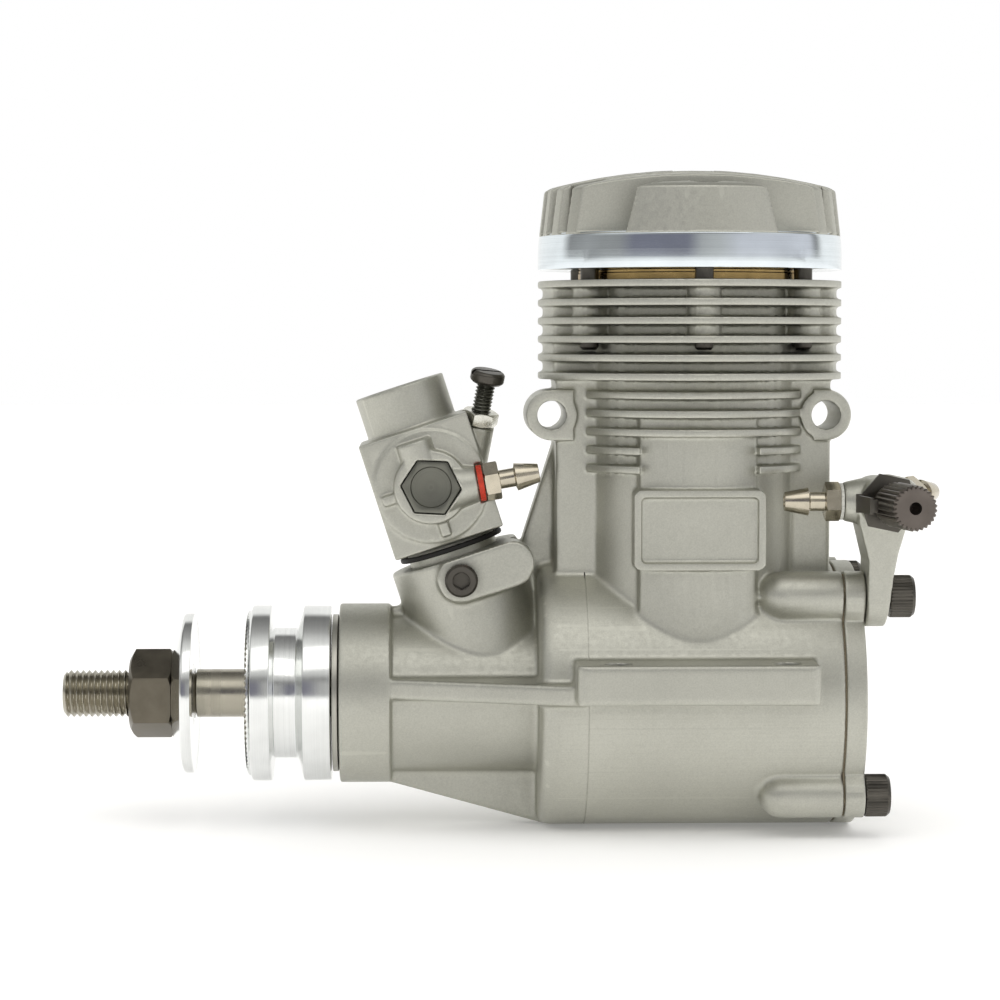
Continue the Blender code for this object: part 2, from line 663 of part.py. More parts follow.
def make_cylinder_head():
    top = [(dome_z(r), r) for r in (7.0, 14.0, 21.5)]
    head = turned("cylinder_head", [
        *top, (dome_z(23.4), 23.4), (82.9, 24.25), (HEAD_RIM_Z, 25.0), (HEAD_RIM_Z - 0.05, FIN_R),
        (HEAD_BASE_Z, FIN_R), (HEAD_BASE_Z, 13.05), (64.8, 13.05), (64.8, 9.2), (67.6, 7.5), (69.3, 3.2),
        (77.0, 3.2), (77.0, 7.0)], segments=36)
    for i, (low, high) in enumerate(((2.1, 4.3), (6.5, 8.7), (10.9, 13.1), (15.3, 21.8))):
        cut(head, guide_box(f"head_groove_near_{i + 1}", (-30, -high, 77.6), (30, -low, 95)),
            guide_box(f"head_groove_far_{i + 1}", (-30, low, 77.6), (30, high, 95)))
    for i, (x, y) in enumerate(head_screw_places()):
        cut(head, guide_bar(f"head_bolt_hole_{i + 1}", 1.7, 60, 95, at=(x, y, 0), segments=8),
            guide_bar(f"head_bolt_seat_{i + 1}", 3.0, 77.3, 95, at=(x, y, 0), segments=12))
    return finish(head, CAST)


def make_head_screws():
    for i, (x, y) in enumerate(head_screw_places()):
        cap_screw(f"head_screw_{i + 1}", 1.5, 2.75, 3.0, 20.2, 2.5, at=(x, y, 77.5))


def make_glow_plug():
    plug = turned("glow_plug", [
        (84.9, 0), (84.9, 0.9), (84.5, 1.3), (82.6, 1.3), (82.4, 0.9), (81.7, 0.9), (81.5, 2.2), (80.6, 2.6),
        (80.6, 3.9), (77.6, 3.9), (77.5, 2.95), (70.2, 2.95), (69.8, 2.5), (69.8, 0)], segments=16)
    nut = hexagon("glow_plug_hex", 8.0, 77.6, 80.4, guide=True)
    join(plug, nut)
    finish(plug, STEEL)
    return finish(ring("glow_plug_washer", 3.2, 4.4, 77.15, 77.35, segments=16), BRASS)


# ---------------------------------------------------------------- carburettor

def make_carburettor_body():
    body = box("carburettor_body", (-9.25, -9.75, -9.85), (9.25, 9.75, 9.85), CARB)
    lobe = guide_bar("inlet_lobe", 2.95, 3, 7.6, at=(-0.5, -11.4, 0), frame=CARB, segments=16)
    join(body,
         guide_bar("intake_tube", 7.55, 5, 17.0, frame=CARB, segments=32),
         guide_bar("neck_stub", 7.45, -21.5, -8, frame=CARB, segments=24),
         guide_bar("cover_disc", 9.2, -10.15, -9, axis="Y", frame=CARB, segments=32),
         guide_bar("inlet_boss", 6.0, -13.4, -9, axis="Y", frame=CARB, segments=24),
         lobe,
         guide_box("inlet_rib_front", (-8.2, -12.2, -0.8), (-5, -9, 0.8), CARB),
         guide_box("inlet_rib_lower", (-0.8, -12.2, -8.4), (0.8, -9, -5), CARB),
         guide_bar("nipple_boss", 4.2, 1.5, 7.4, end_radius=2.95, frame=CARB_NIPPLE, segments=16),
         guide_bar("idle_stop_boss", 2.7, -12.5, -2.1, frame=IDLE, segments=16),
         guide_bar("throttle_bearing_boss", 7.6, 9, 11.6, axis="Y", frame=CARB, segments=28))
    cut(body,
        guide_bar("venturi", 5.0, -26, 22, frame=CARB, segments=24),
        guide_bar("throttle_bore", 6.4, -8.2, 16, axis="Y", frame=CARB, segments=28),
        hexagon("plug_recess", 8.7, -16, -11.3, axis="Y", frame=CARB, guide=True,
                spin=math.radians(21)),
        guide_bar("idle_stop_spot_face", 3.35, -2.05, 9, frame=IDLE, segments=16),
        guide_bar("idle_stop_thread", 1.7, -11, 3, frame=IDLE, segments=12),
        guide_bar("nipple_spot_face", 3.6, 7.45, 14, frame=CARB_NIPPLE, segments=16),
        guide_bar("nipple_thread", 1.6, 4.4, 12, frame=CARB_NIPPLE, segments=10))
    return finish(body, CAST)


def make_inlet_plug():
    plug = hexagon("carburettor_inlet_plug", 8.3, -12.9, -11.45, axis="Y", frame=CARB,
                   spin=math.radians(21))
    cut(plug, guide_bar("inlet_plug_dish", 3.2, -16, -12.5, axis="Y", frame=CARB, segments=20))
    return finish(plug, BLACK_STEEL)


def hose_nipple(name, frame, seat, washer, thread):
    """Hexagon, neck and barb, pointing along the frame's +Z from the seat."""
    base = seat + washer
    outline = [(base + 9.0, 0), (base + 9.0, 1.55), (base + 5.1, 2.3), (base + 5.0, 1.45),
               (base + 2.8, 1.45), (base + 2.6, 2.6), (base + 0.3, 2.6), (base + 0.05, 1.45),
               (seat - thread, 1.45), (seat - thread, 0)]
    nipple = turned(name, outline, frame=frame, segments=14)
    join(nipple, hexagon(f"{name}_hex", 5.5, base + 0.1, base + 2.6, frame=frame, guide=True))
    cut(nipple, guide_bar(f"{name}_bore", 0.9, seat - thread - 2, base + 12, frame=frame, segments=8))
    return finish(nipple, NICKEL)


def make_carburettor_nipple():
    hose_nipple("carburettor_nipple", CARB_NIPPLE, 7.5, washer=1.1, thread=2.6)
    washer = ring("nipple_washer", 1.65, 2.9, 7.55, 8.45, frame=CARB_NIPPLE, segments=18)
    return finish(washer, RED_FIBRE)


def make_carburettor_gasket():
    return finish(ring("carburettor_gasket", 7.65, 9.7, -11.6, -10.1, frame=CARB, segments=28), RUBBER)


def make_carburettor_clamp_screw():
    cap_screw("carburettor_clamp_screw", 1.5, 2.75, 2.6, 5.2, 2.5, frame=CLAMP)


def make_throttle():
    """The barrel turns about the cross axis; its arm is on the far side."""
    barrel = turned("throttle_barrel", [
        (4, 0), (4, 1.6), (14.6, 1.6), (14.6, 3.2), (12.2, 3.2), (11.9, 6.2), (-7.9, 6.2), (-7.9, 0)],
        axis="Y", frame=CARB, segments=24)
    cut(barrel, guide_bar("throttle_gate", 4.4, -9, 9, frame=CARB, segments=20))
    finish(barrel, STEEL)
    arm = plate("throttle_arm", along_y(link_outline((0, 0), 5.0, (4.5, 13.5), 2.4)), 12.5, 14.0, axis="Y",
                frame=CARB)
    cut(arm, guide_bar("arm_bore", 3.35, 8, 20, axis="Y", frame=CARB, segments=20),
        guide_bar("arm_link_hole", 0.9, 8, 20, axis="Y", at=(4.5, 0, 13.5), frame=CARB, segments=10))
    finish(arm, BLACK_STEEL)
    nut = ring("throttle_arm_nut", 3.4, 4.4, 14.15, 15.4, axis="Y", frame=CARB, segments=20)
    return finish(nut, BRASS)


def make_low_speed_needle():
    needle = turned("low_speed_needle", [
        (17.6, 0), (17.6, 2.0), (17.3, 2.3), (15.7, 2.3), (15.6, 1.3), (5.5, 1.3), (4.4, 0.4), (4.4, 0)],
        axis="Y", frame=CARB, segments=12)
    cut(needle, guide_box("low_speed_needle_slot", (-3, 16.9, -0.3), (3, 19, 0.3), CARB))
    return finish(needle, BRASS)


def make_idle_stop():
    screw = turned("idle_stop_screw", [
        (7.3, 0), (7.3, 2.4), (6.9, 2.85), (5.6, 2.85), (5.2, 2.4), (5.1, 1.35), (-8.4, 1.35), (-8.8, 1.0),
        (-8.8, 0)], frame=IDLE, segments=16)
    cut(screw, guide_box("idle_stop_slot", (-4, -0.35, 6.5), (4, 0.35, 9), IDLE))
    finish(screw, BLACK_STEEL)
    nut = hexagon("idle_stop_nut", 5.5, -1.95, 0.35, frame=IDLE, spin=math.radians(12))
    cut(nut, guide_bar("idle_stop_nut_bore", 1.6, -5, 5, frame=IDLE, segments=12))
    return finish(nut, NICKEL)


# ---------------------------------------------------------------- needle valve at the rear

def make_needle_bracket():
    """Cast arm from the upper near backplate screw up to the needle holder."""
    foot = (BACK_SCREWS[0][0], BACK_SCREWS[0][1])
    arm = plate("needle_bracket", along_x(link_outline(foot, 4.9, (-17.6, 32.4), 3.9)), BACK - 1.6,
                BACK + 6.3, axis="X")
    front = [(20, 8), (BACK + 0.15, 8), (BACK + 0.15, 23.5), (BACK - 1.5, 29.6), (BACK - 1.5, 40), (20, 40)]
    rear = [(40, 8), (29.9, 8), (31.2, 20.5), (31.9, 24.5), (33.2, 29.2), (33.2, 40), (40, 40)]
    cut(arm, guide_plate("bracket_front_side", along_y(front), -40, 0, axis="Y"),
        guide_plate("bracket_rear_side", along_y(rear), -40, 0, axis="Y"))
    holder = guide_bar("needle_holder", 4.1, -4.6, 4.4, axis="Y", frame=NEEDLE, segments=24)
    inlet = guide_bar("inlet_cone", 4.0, 2.0, 6.0, end_radius=3.1, frame=INLET, segments=16)
    outlet = guide_bar("outlet_cone", 4.0, 2.0, 7.0, end_radius=3.1, frame=OUTLET, segments=16)
    join(arm, holder, inlet, outlet)
    cut(arm,
        guide_bar("bracket_spot_face", 3.75, BACK + 4.1, 45, axis="X", at=(0, *foot), segments=20),
        guide_bar("bracket_screw_hole", 2.2, 20, 40, axis="X", at=(0, *foot), segments=14),
        guide_bar("needle_bore", 2.1, -9, 3.6, axis="Y", frame=NEEDLE, segments=14),
        guide_bar("inlet_thread", 1.6, 0.5, 12, frame=INLET, segments=10),
        guide_bar("outlet_thread", 1.6, 0.5, 12, frame=OUTLET, segments=10))
    return finish(arm, CAST)


def make_needle_nipples():
    hose_nipple("inlet_nipple", INLET, 6.1, washer=0.45, thread=2.2)
    finish(ring("inlet_nipple_washer", 1.65, 2.95, 6.15, 6.55, frame=INLET, segments=16), PLASTIC)
    hose_nipple("outlet_nipple", OUTLET, 7.1, washer=0.45, thread=2.0)
    return finish(ring("outlet_nipple_washer", 1.65, 2.95, 7.15, 7.55, frame=OUTLET, segments=16), PLASTIC)


def make_needle():
    """Knurled knob on the fuel needle, turned by hand against the ratchet spring."""
    knob = turned("needle_valve", [
        (2.4, 0), (2.4, 0.3), (-1.5, 1.2), (-7.2, 1.2), (-7.3, 3.1), (-8.9, 3.2), (-9.0, 3.6), (-20.0, 3.6),
        (-20.3, 3.3), (-20.3, 1.0), (-16, 1.0), (-16, 0)], axis="Y", frame=NEEDLE, segments=24)
    finish(knob, BLACK_STEEL)
    seat = ring("needle_seat_bush", 1.45, 1.95, -6.9, -0.5, axis="Y", frame=NEEDLE, segments=12)
    return finish(seat, BRASS)


def make_ratchet_spring():
    """A bent leaf: a washer round the holder's nose with a finger that lies along the knob."""
    spring = ring("ratchet_spring", 2.4, 5.0, -5.35, -4.75, axis="Y", frame=NEEDLE, segments=20)
    foot = guide_box("ratchet_foot", (-5.3, -5.35, -1.5), (-3.6, -4.75, 1.5), NEEDLE)
    finger = guide_box("ratchet_finger", (-5.3, -13.2, -1.3), (-4.7, -4.9, 1.3), NEEDLE)
    tip = guide_box("ratchet_tip", (-5.0, -13.2, -1.0), (-3.95, -12.5, 1.0), NEEDLE)
    join(spring, foot, finger, tip)
    return finish(spring, BLACK_STEEL)


def build():
    make_crankcase()
    make_backplate()
    make_backplate_gasket()
    make_backplate_screws()
    make_crankshaft()
    make_crank_pin()
    make_bearing("rear", -20.1, 7.0, 14.0, JOURNAL_R + GAP, 10.75, 1.85, 9)
    make_bearing("front", -54.0, 6.8, 11.0, SHAFT_R + GAP, 7.5, 1.6, 8)
    make_drive_hub()
    make_taper_collet()
    make_thrust_washer()
    make_prop_washer()
    make_prop_nut()
    make_piston()
    make_wrist_pin()
    make_connecting_rod()
    make_rod_bushes()
    make_cylinder_liner()
    make_head_gasket()
    make_cylinder_head()
    make_head_screws()
    make_glow_plug()
    make_carburettor_body()
    make_inlet_plug()
    make_carburettor_nipple()
    make_carburettor_gasket()
    make_carburettor_clamp_screw()
    make_throttle()
    make_low_speed_needle()
    make_idle_stop()
    make_needle_bracket()
    make_needle_nipples()
    make_needle()
    make_ratchet_spring()


build()
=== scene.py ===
"""Looks for the model glow engine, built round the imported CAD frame.

Pieces are modelled in millimetres in local axes whose +Z is the piece's own axis, then placed
in the row frame.  The engine's axes are X along the crankshaft (propeller at -X), Z up the
cylinder and Y across (exhaust at +Y); their zero is where the cylinder and crank axes cross.
"""

import json
import math

import bmesh
import bpy
from mathutils import Euler, Matrix, Vector


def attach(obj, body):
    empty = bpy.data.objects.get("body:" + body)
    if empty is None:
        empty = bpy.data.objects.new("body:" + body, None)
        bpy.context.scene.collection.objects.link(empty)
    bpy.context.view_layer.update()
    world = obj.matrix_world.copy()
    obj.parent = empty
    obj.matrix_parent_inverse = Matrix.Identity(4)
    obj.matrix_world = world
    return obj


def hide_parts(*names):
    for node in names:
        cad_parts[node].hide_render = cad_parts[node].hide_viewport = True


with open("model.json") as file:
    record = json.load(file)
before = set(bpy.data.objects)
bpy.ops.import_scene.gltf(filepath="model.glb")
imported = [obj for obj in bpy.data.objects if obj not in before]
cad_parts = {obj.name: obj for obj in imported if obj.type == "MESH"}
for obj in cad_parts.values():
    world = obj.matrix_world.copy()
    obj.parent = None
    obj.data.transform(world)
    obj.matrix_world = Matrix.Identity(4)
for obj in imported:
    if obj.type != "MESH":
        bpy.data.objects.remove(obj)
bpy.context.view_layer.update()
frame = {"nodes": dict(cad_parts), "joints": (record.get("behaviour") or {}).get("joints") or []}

MM = 0.001
TAU = 2 * math.pi
JOINTS = {joint["name"]: joint for joint in frame["joints"]}


# ---------------------------------------------------------------- places

def shift(x, y, z):
    return Matrix.Translation(Vector((x, y, z)) * MM)


def turn(x=0.0, y=0.0, z=0.0):
    return Euler((math.radians(x), math.radians(y), math.radians(z))).to_matrix().to_4x4()


ENGINE = Matrix.Translation(Vector(JOINTS["crank_spin"]["pos_m"]))
ALONG_X = turn(y=90)
ALONG_Y = turn(x=-90)
NECK = ENGINE @ shift(-31.7, 0, 0) @ turn(y=-18)
CARB = NECK @ shift(0, 0, 36.8)
CARB_NIPPLE = CARB @ shift(0, -11.6, -0.8) @ turn(y=98)
CLAMP = NECK @ shift(0, -13.5, 21.0) @ turn(x=90)
IDLE = ENGINE @ shift(-34.7, 1.0, 46.75) @ turn(x=12, y=10.5)
NEEDLE = ENGINE @ shift(29.3, -18.0, 32.9) @ turn(z=6.5)
INLET = ENGINE @ shift(29.3, -18.0, 32.9) @ turn(y=-90)
OUTLET = ENGINE @ shift(29.3, -18.0, 33.2) @ turn(y=88, z=50)
SHAFT = ENGINE @ ALONG_X

# Sizes that several pieces share, in millimetres
BACK = 27.0
CASE_R = 22.0
CASE_REAR = 23.3
CASE_FRONT = -25.5
NOSE_R = 14.9
NOSE_FRONT = -58.2
NOSE_REAR = -49.5
HOUSING_R = 13.0
CORE_R = 18.2
DECK_Z = 68.55
FIN_R = 25.2
FIN_PITCH = 3.0
FIN_THICK = 1.15
TOP_FIN_Z = 68.0
UPPER_FINS = 6
LOWER_FINS = 5
WHOLE_LOWER_FINS = 3
BOOST_HALF = 9.55
EARS_X = (-23.3, 21.7)
EAR_Z = 46.6
HEAD_BASE_Z = 70.4
HEAD_RIM_Z = 76.0
HEAD_SCREWS = [(20.2 * math.cos(a), 20.2 * math.sin(a))
               for a in (math.radians(60 * i - 88.5) for i in range(6))]
BACK_SCREWS = ((-15.2, 17.3), (15.2, 17.3), (-17.0, -15.0), (17.0, -15.0))


# ---------------------------------------------------------------- shapes

def make(name, form, place, sharp=32):
    """An object from a bmesh in millimetres."""
    bmesh.ops.scale(form, vec=(MM, MM, MM), verts=form.verts)
    bmesh.ops.recalc_face_normals(form, faces=form.faces)
    mesh = bpy.data.meshes.new(name)
    form.to_mesh(mesh)
    form.free()
    mesh.shade_smooth()
    mesh.set_sharp_from_angle(angle=math.radians(sharp))
    piece = bpy.data.objects.new(name, mesh)
    bpy.context.scene.collection.objects.link(piece)
    piece.matrix_world = place
    return piece


def soften(outline, soft, steps=3):
    """The outline with each inner corner rounded; ends on the axis stay where they are."""
    closed = outline[0][1] > 0
    points = [Vector(p) for p in outline]
    rounded = []
    for i, corner in enumerate(points):
        if not closed and i in (0, len(points) - 1):
            rounded.append(corner)
            continue
        before = points[i - 1] - corner
        after = points[(i + 1) % len(points)] - corner
        reach = min(soft, 0.45 * before.length, 0.45 * after.length)
        start = corner + before.normalized() * reach
        end = corner + after.normalized() * reach
        for k in range(steps + 1):
            t = k / steps
            rounded.append(start * (1 - t) ** 2 + corner * 2 * t * (1 - t) + end * t ** 2)
    return rounded, closed


def lathe(name, outline, place, soft=0.12, segments=112):
    """Solid of revolution from (station, radius) points; closed on itself if it starts off the axis."""
    if soft:
        points, closed = soften(outline, soft)
    else:
        points, closed = [Vector(p) for p in outline], outline[0][1] > 0
    form = bmesh.new()
    rings = []
    for station, radius in points:
        if radius < 1e-6:
            rings.append([form.verts.new((0, 0, station))] * segments)
        else:
            rings.append([form.verts.new((radius * math.cos(a), radius * math.sin(a), station))
                          for a in (TAU * i / segments for i in range(segments))])
    pairs = list(zip(rings, rings[1:]))
    if closed:
        pairs.append((rings[-1], rings[0]))
    for one, two in pairs:
        for i in range(segments):
            j = (i + 1) % segments
            corners = list(dict.fromkeys((one[i], one[j], two[j], two[i])))
            if len(corners) > 2:
                form.faces.new(corners)
    return make(name, form, place)


def bar(name, radius, low, high, place, segments=72, end_radius=None, soft=0.0):
    top = radius if end_radius is None else end_radius
    return lathe(name, [(high, 0), (high, top), (low, radius), (low, 0)], place, soft, segments)


def ring(name, inner, outer, low, high, place, soft=0.12, segments=96):
    return lathe(name, [(high, inner), (high, outer), (low, outer), (low, inner)], place, soft, segments)


def prism(name, outline, low, high, place):
    form = bmesh.new()
    base = form.faces.new([form.verts.new((x, y, low)) for x, y in outline])
    top = bmesh.ops.extrude_face_region(form, geom=[base])["geom"]
    bmesh.ops.translate(form, vec=(0, 0, high - low),
                        verts=[v for v in top if isinstance(v, bmesh.types.BMVert)])
    bmesh.ops.triangulate(form, faces=form.faces)
    return make(name, form, place)


def hexagon(name, flats, low, high, place, spin=0.0):
    radius = flats / math.sqrt(3)
    outline = [(radius * math.cos(a), radius * math.sin(a))
               for a in (math.radians(60 * i + spin) for i in range(6))]
    return prism(name, outline, low, high, place)


def block(name, low, high, place=None):
    form = bmesh.new()
    bmesh.ops.create_cube(form, size=1)
    size = Vector(high) - Vector(low)
    bmesh.ops.scale(form, vec=size, verts=form.verts)
    bmesh.ops.translate(form, vec=(Vector(high) + Vector(low)) / 2, verts=form.verts)
    return make(name, form, ENGINE if place is None else place)


def field(name, stations, radius_at, place, segments=120, bore=0.0):
    """A round body whose radius depends on the station and the angle, for threads and knurls."""
    form = bmesh.new()
    rings = [[form.verts.new((r * math.cos(a), r * math.sin(a), station))
              for a, r in ((TAU * i / segments, radius_at(station, TAU * i / segments))
                           for i in range(segments))] for station in stations]
    for one, two in zip(rings, rings[1:]):
        for i in range(segments):
            j = (i + 1) % segments
            form.faces.new((one[i], one[j], two[j], two[i]))
    for end, station in ((rings[0], stations[0]), (rings[-1], stations[-1])):
        if bore:
            inner = [form.verts.new((bore * math.cos(TAU * i / segments), bore * math.sin(TAU * i / segments),
                                     station)) for i in range(segments)]
            for i in range(segments):
                j = (i + 1) % segments
                form.faces.new((end[i], end[j], inner[j], inner[i]))
            if end is rings[0]:
                first_inner = inner
        else:
            middle = form.verts.new((0, 0, station))
            for i in range(segments):
                form.faces.new((end[i], end[(i + 1) % segments], middle))
    if bore:
        for i in range(segments):
            j = (i + 1) % segments
            form.faces.new((first_inner[i], first_inner[j], inner[j], inner[i]))
    return make(name, form, place, sharp=25)


def steps_between(low, high, size):
    count = max(2, round((high - low) / size))
    return [low + (high - low) * i / count for i in range(count + 1)]


def wave(t):
    """A triangle wave from 0 to 1 and back, once per unit."""
    return 1 - abs(2 * (t % 1) - 1)


def arc(centre, radius, start, end, steps):
    angles = [math.radians(start + (end - start) * i / steps) for i in range(steps + 1)]
    return [(centre[0] + radius * math.cos(a), centre[1] + radius * math.sin(a)) for a in angles]


def link_outline(first, first_r, second, second_r, steps=24):
    along = Vector(second) - Vector(first)
    heading = math.degrees(math.atan2(along.y, along.x))
    spread = math.degrees(math.acos((first_r - second_r) / along.length))
    return (arc(first, first_r, heading + spread, heading + 360 - spread, 2 * steps)
            + arc(second, second_r, heading - spread, heading + spread, steps))


def rounded_rectangle(half_width, half_height, radius):
    points = []
    for sx, sy, start in ((1, 1, 0), (-1, 1, 90), (-1, -1, 180), (1, -1, 270)):
        centre = (sx * (half_width - radius), sy * (half_height - radius))
        points += arc(centre, radius, start, start + 90, 8)
    return points


def along_y(outline):
    return [(x, -z) for x, z in outline]


def along_x(outline):
    return [(-z, y) for y, z in outline]


def settle(piece, sharp=32):
    """Applies the modifiers."""
    graph = bpy.context.evaluated_depsgraph_get()
    mesh = bpy.data.meshes.new_from_object(piece.evaluated_get(graph))
    piece.modifiers.clear()
    piece.data = mesh
    mesh.shade_smooth()
    if sharp:
        mesh.set_sharp_from_angle(angle=math.radians(sharp))
    return piece


def combine(piece, adds=(), cuts=(), keeps=(), sharp=32):
    """Joins, cuts and keeps common parts, using up the tools."""
    for tools, operation in ((adds, "UNION"), (cuts, "DIFFERENCE"), (keeps, "INTERSECT")):
        for tool in tools:
            change = piece.modifiers.new(tool.name, "BOOLEAN")
            change.operation = operation
            change.object = tool
            change.solver = "MANIFOLD"
    settle(piece, sharp)
    for tool in (*adds, *cuts, *keeps):
        bpy.data.objects.remove(tool)
    return piece


def cast(piece, voxel, rounds, keep=1.0):
    """Gives a solid the soft edges and filled corners of a casting."""
    remesh = piece.modifiers.new("skin", "REMESH")
    remesh.mode = "VOXEL"
    remesh.voxel_size = voxel * MM
    smooth = piece.modifiers.new("ease", "SMOOTH")
    smooth.factor = 0.5
    smooth.iterations = rounds
    if keep < 1:
        thin = piece.modifiers.new("thin", "DECIMATE")
        thin.ratio = keep
    return settle(piece, sharp=0)


def finish(piece, look, body, *nodes, slot=None):
    piece.data.materials.clear()
    piece.data.materials.append(look)
    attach(piece, body)
    if nodes:
        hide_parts(*nodes)
    return piece


# ---------------------------------------------------------------- materials

class Look:
    """A material with a Principled shader and short ways to add nodes to it."""

    def __init__(self, name, colour, metallic=1.0, roughness=0.4, specular=0.5, coat=0.0):
        self.material = bpy.data.materials.new(name)
        self.material.use_nodes = True
        self.nodes = self.material.node_tree.nodes
        self.links = self.material.node_tree.links
        self.shader = self.nodes["Principled BSDF"]
        self.colour = colour
        self.set("Base Color", (*colour, 1))
        self.set("Metallic", metallic)
        self.set("Roughness", roughness)
        self.set("Specular IOR Level", specular)
        self.set("Coat Weight", coat)
        self.height = None

    def set(self, socket, value):
        self.shader.inputs[socket].default_value = value

    def add(self, kind, *inputs, **settings):
        node = self.nodes.new(kind)
        for key, value in settings.items():
            setattr(node, key, value)
        for index, value in enumerate(inputs):
            if value is None:
                continue
            if isinstance(value, bpy.types.NodeSocket):
                self.links.new(value, node.inputs[index])
            else:
                node.inputs[index].default_value = value
        return node

    def math(self, operation, *values):
        return self.add("ShaderNodeMath", *values, operation=operation).outputs[0]

    def noise(self, scale, detail=3.0, vector=None, roughness=0.5):
        node = self.add("ShaderNodeTexNoise", vector)
        node.inputs["Scale"].default_value = scale
        node.inputs["Detail"].default_value = detail
        node.inputs["Roughness"].default_value = roughness
        if vector is None:
            self.links.new(self.place().outputs["Object"], node.inputs["Vector"])
        return node.outputs[0]

    def place(self):
        return self.nodes.get("place") or self.add("ShaderNodeTexCoord", name="place")

    def turned_vector(self, stretch):
        """(station, radius) along and about the piece's own axis, so that noise makes turning rings."""
        axes = self.add("ShaderNodeSeparateXYZ", self.place().outputs["Object"])
        radius = self.math("SQRT", self.math("ADD", self.math("MULTIPLY", axes.outputs[0], axes.outputs[0]),
                                             self.math("MULTIPLY", axes.outputs[1], axes.outputs[1])))
        return self.add("ShaderNodeCombineXYZ", self.math("MULTIPLY", axes.outputs[2], stretch),
                        self.math("MULTIPLY", radius, stretch), 0.0).outputs[0]

    def ramp(self, value, *stops):
        node = self.add("ShaderNodeValToRGB", value)
        while len(node.color_ramp.elements) < len(stops):
            node.color_ramp.elements.new(0.5)
        for element, (at, colour) in zip(node.color_ramp.elements, stops):
            element.position = at
            element.color = (*colour, 1) if isinstance(colour, tuple) else (colour, colour, colour, 1)
        return node.outputs[0]

    def spread(self, value, low, high):
        """The 0.3 to 0.7 span of a noise spread over low to high."""
        return self.add("ShaderNodeMapRange", value, 0.3, 0.7, low, high).outputs[0]

    def tint(self, value, dark, light):
        """Base colour times dark to light as value goes from 0.3 to 0.7."""
        one = tuple(c * dark for c in self.colour)
        two = tuple(min(1.0, c * light) for c in self.colour)
        self.links.new(self.ramp(value, (0.3, one), (0.7, two)), self.shader.inputs["Base Color"])
        return self

    def rough(self, value, low, high):
        self.links.new(self.spread(value, low, high), self.shader.inputs["Roughness"])
        return self

    def bump(self, value, strength, distance):
        """Adds relief, distance in millimetres, on top of any relief given before."""
        node = self.add("ShaderNodeBump")
        node.inputs["Strength"].default_value = strength
        node.inputs["Distance"].default_value = distance * MM
        self.links.new(value, node.inputs["Height"])
        if self.height:
            self.links.new(self.height, node.inputs["Normal"])
        self.height = node.outputs[0]
        self.links.new(self.height, self.shader.inputs["Normal"])
        return self


def blasted_aluminium():
    """Bead-blasted casting: an even fine grain, faint clouds and a painted highlight that lightens its edges.
    """
    look = Look("blasted_aluminium", (0.50, 0.497, 0.44), 0.9, 0.46)
    clouds = look.noise(70, 5)
    grain = look.noise(4200, 2)
    pits = look.noise(1300, 4)
    # Convex edges, found by pointiness, are tinted lighter: a painted highlight mixed into the grain and
    # clouds.
    edge = look.add("ShaderNodeNewGeometry").outputs["Pointiness"]
    edge_highlight = look.add("ShaderNodeMapRange", edge, 0.52, 0.6, 0.0, 0.3).outputs[0]
    shade = look.math("ADD", look.math("ADD", look.math("MULTIPLY", clouds, 0.4),
                                       look.math("MULTIPLY", grain, 0.6)), edge_highlight)
    look.tint(shade, 0.9, 1.12)
    look.rough(pits, 0.40, 0.52)
    look.bump(pits, 0.3, 0.03)
    look.bump(grain, 0.3, 0.014)
    return look.material


def turned(name, colour, roughness, grooves=9000, depth=0.006, metallic=1.0):
    """Machined metal with fine rings about the piece's own axis."""
    look = Look(name, colour, metallic, roughness)
    rings = look.noise(1.0, 4, look.turned_vector(grooves), 0.7)
    bands = look.noise(1.0, 2, look.turned_vector(grooves / 12))
    smears = look.noise(180, 3)
    look.tint(look.math("ADD", look.math("MULTIPLY", rings, 0.6), look.math("MULTIPLY", smears, 0.4)),
              0.84, 1.1)
    look.rough(bands, roughness * 0.75, roughness * 1.35)
    look.bump(rings, 0.45, depth)
    look.bump(bands, 0.25, depth)
    return look.material


def black_oxide(name="black_oxide", colour=(0.095, 0.088, 0.076), roughness=0.34):
    look = Look(name, colour, 0.9, roughness)
    patches = look.noise(300, 5)
    grain = look.noise(6000, 2)
    look.tint(patches, 0.84, 1.2)
    look.rough(patches, roughness - 0.06, roughness + 0.08)
    look.bump(grain, 0.35, 0.01)
    return look.material


def bright_plate(name, colour, roughness=0.16):
    look = Look(name, colour, 1.0, roughness)
    smears = look.noise(700, 3)
    look.tint(smears, 0.86, 1.06)
    look.rough(smears, roughness * 0.7, roughness * 1.8)
    look.bump(look.noise(1.0, 3, look.turned_vector(5000), 0.6), 0.2, 0.004)
    return look.material


def soft_stuff(name, colour, roughness, grain_size=2500, relief=0.02):
    look = Look(name, colour, 0.0, roughness, 0.35)
    grain = look.noise(grain_size, 4)
    look.tint(grain, 0.75, 1.25)
    look.rough(grain, roughness - 0.08, roughness + 0.08)
    look.bump(grain, 0.4, relief)
    return look.material


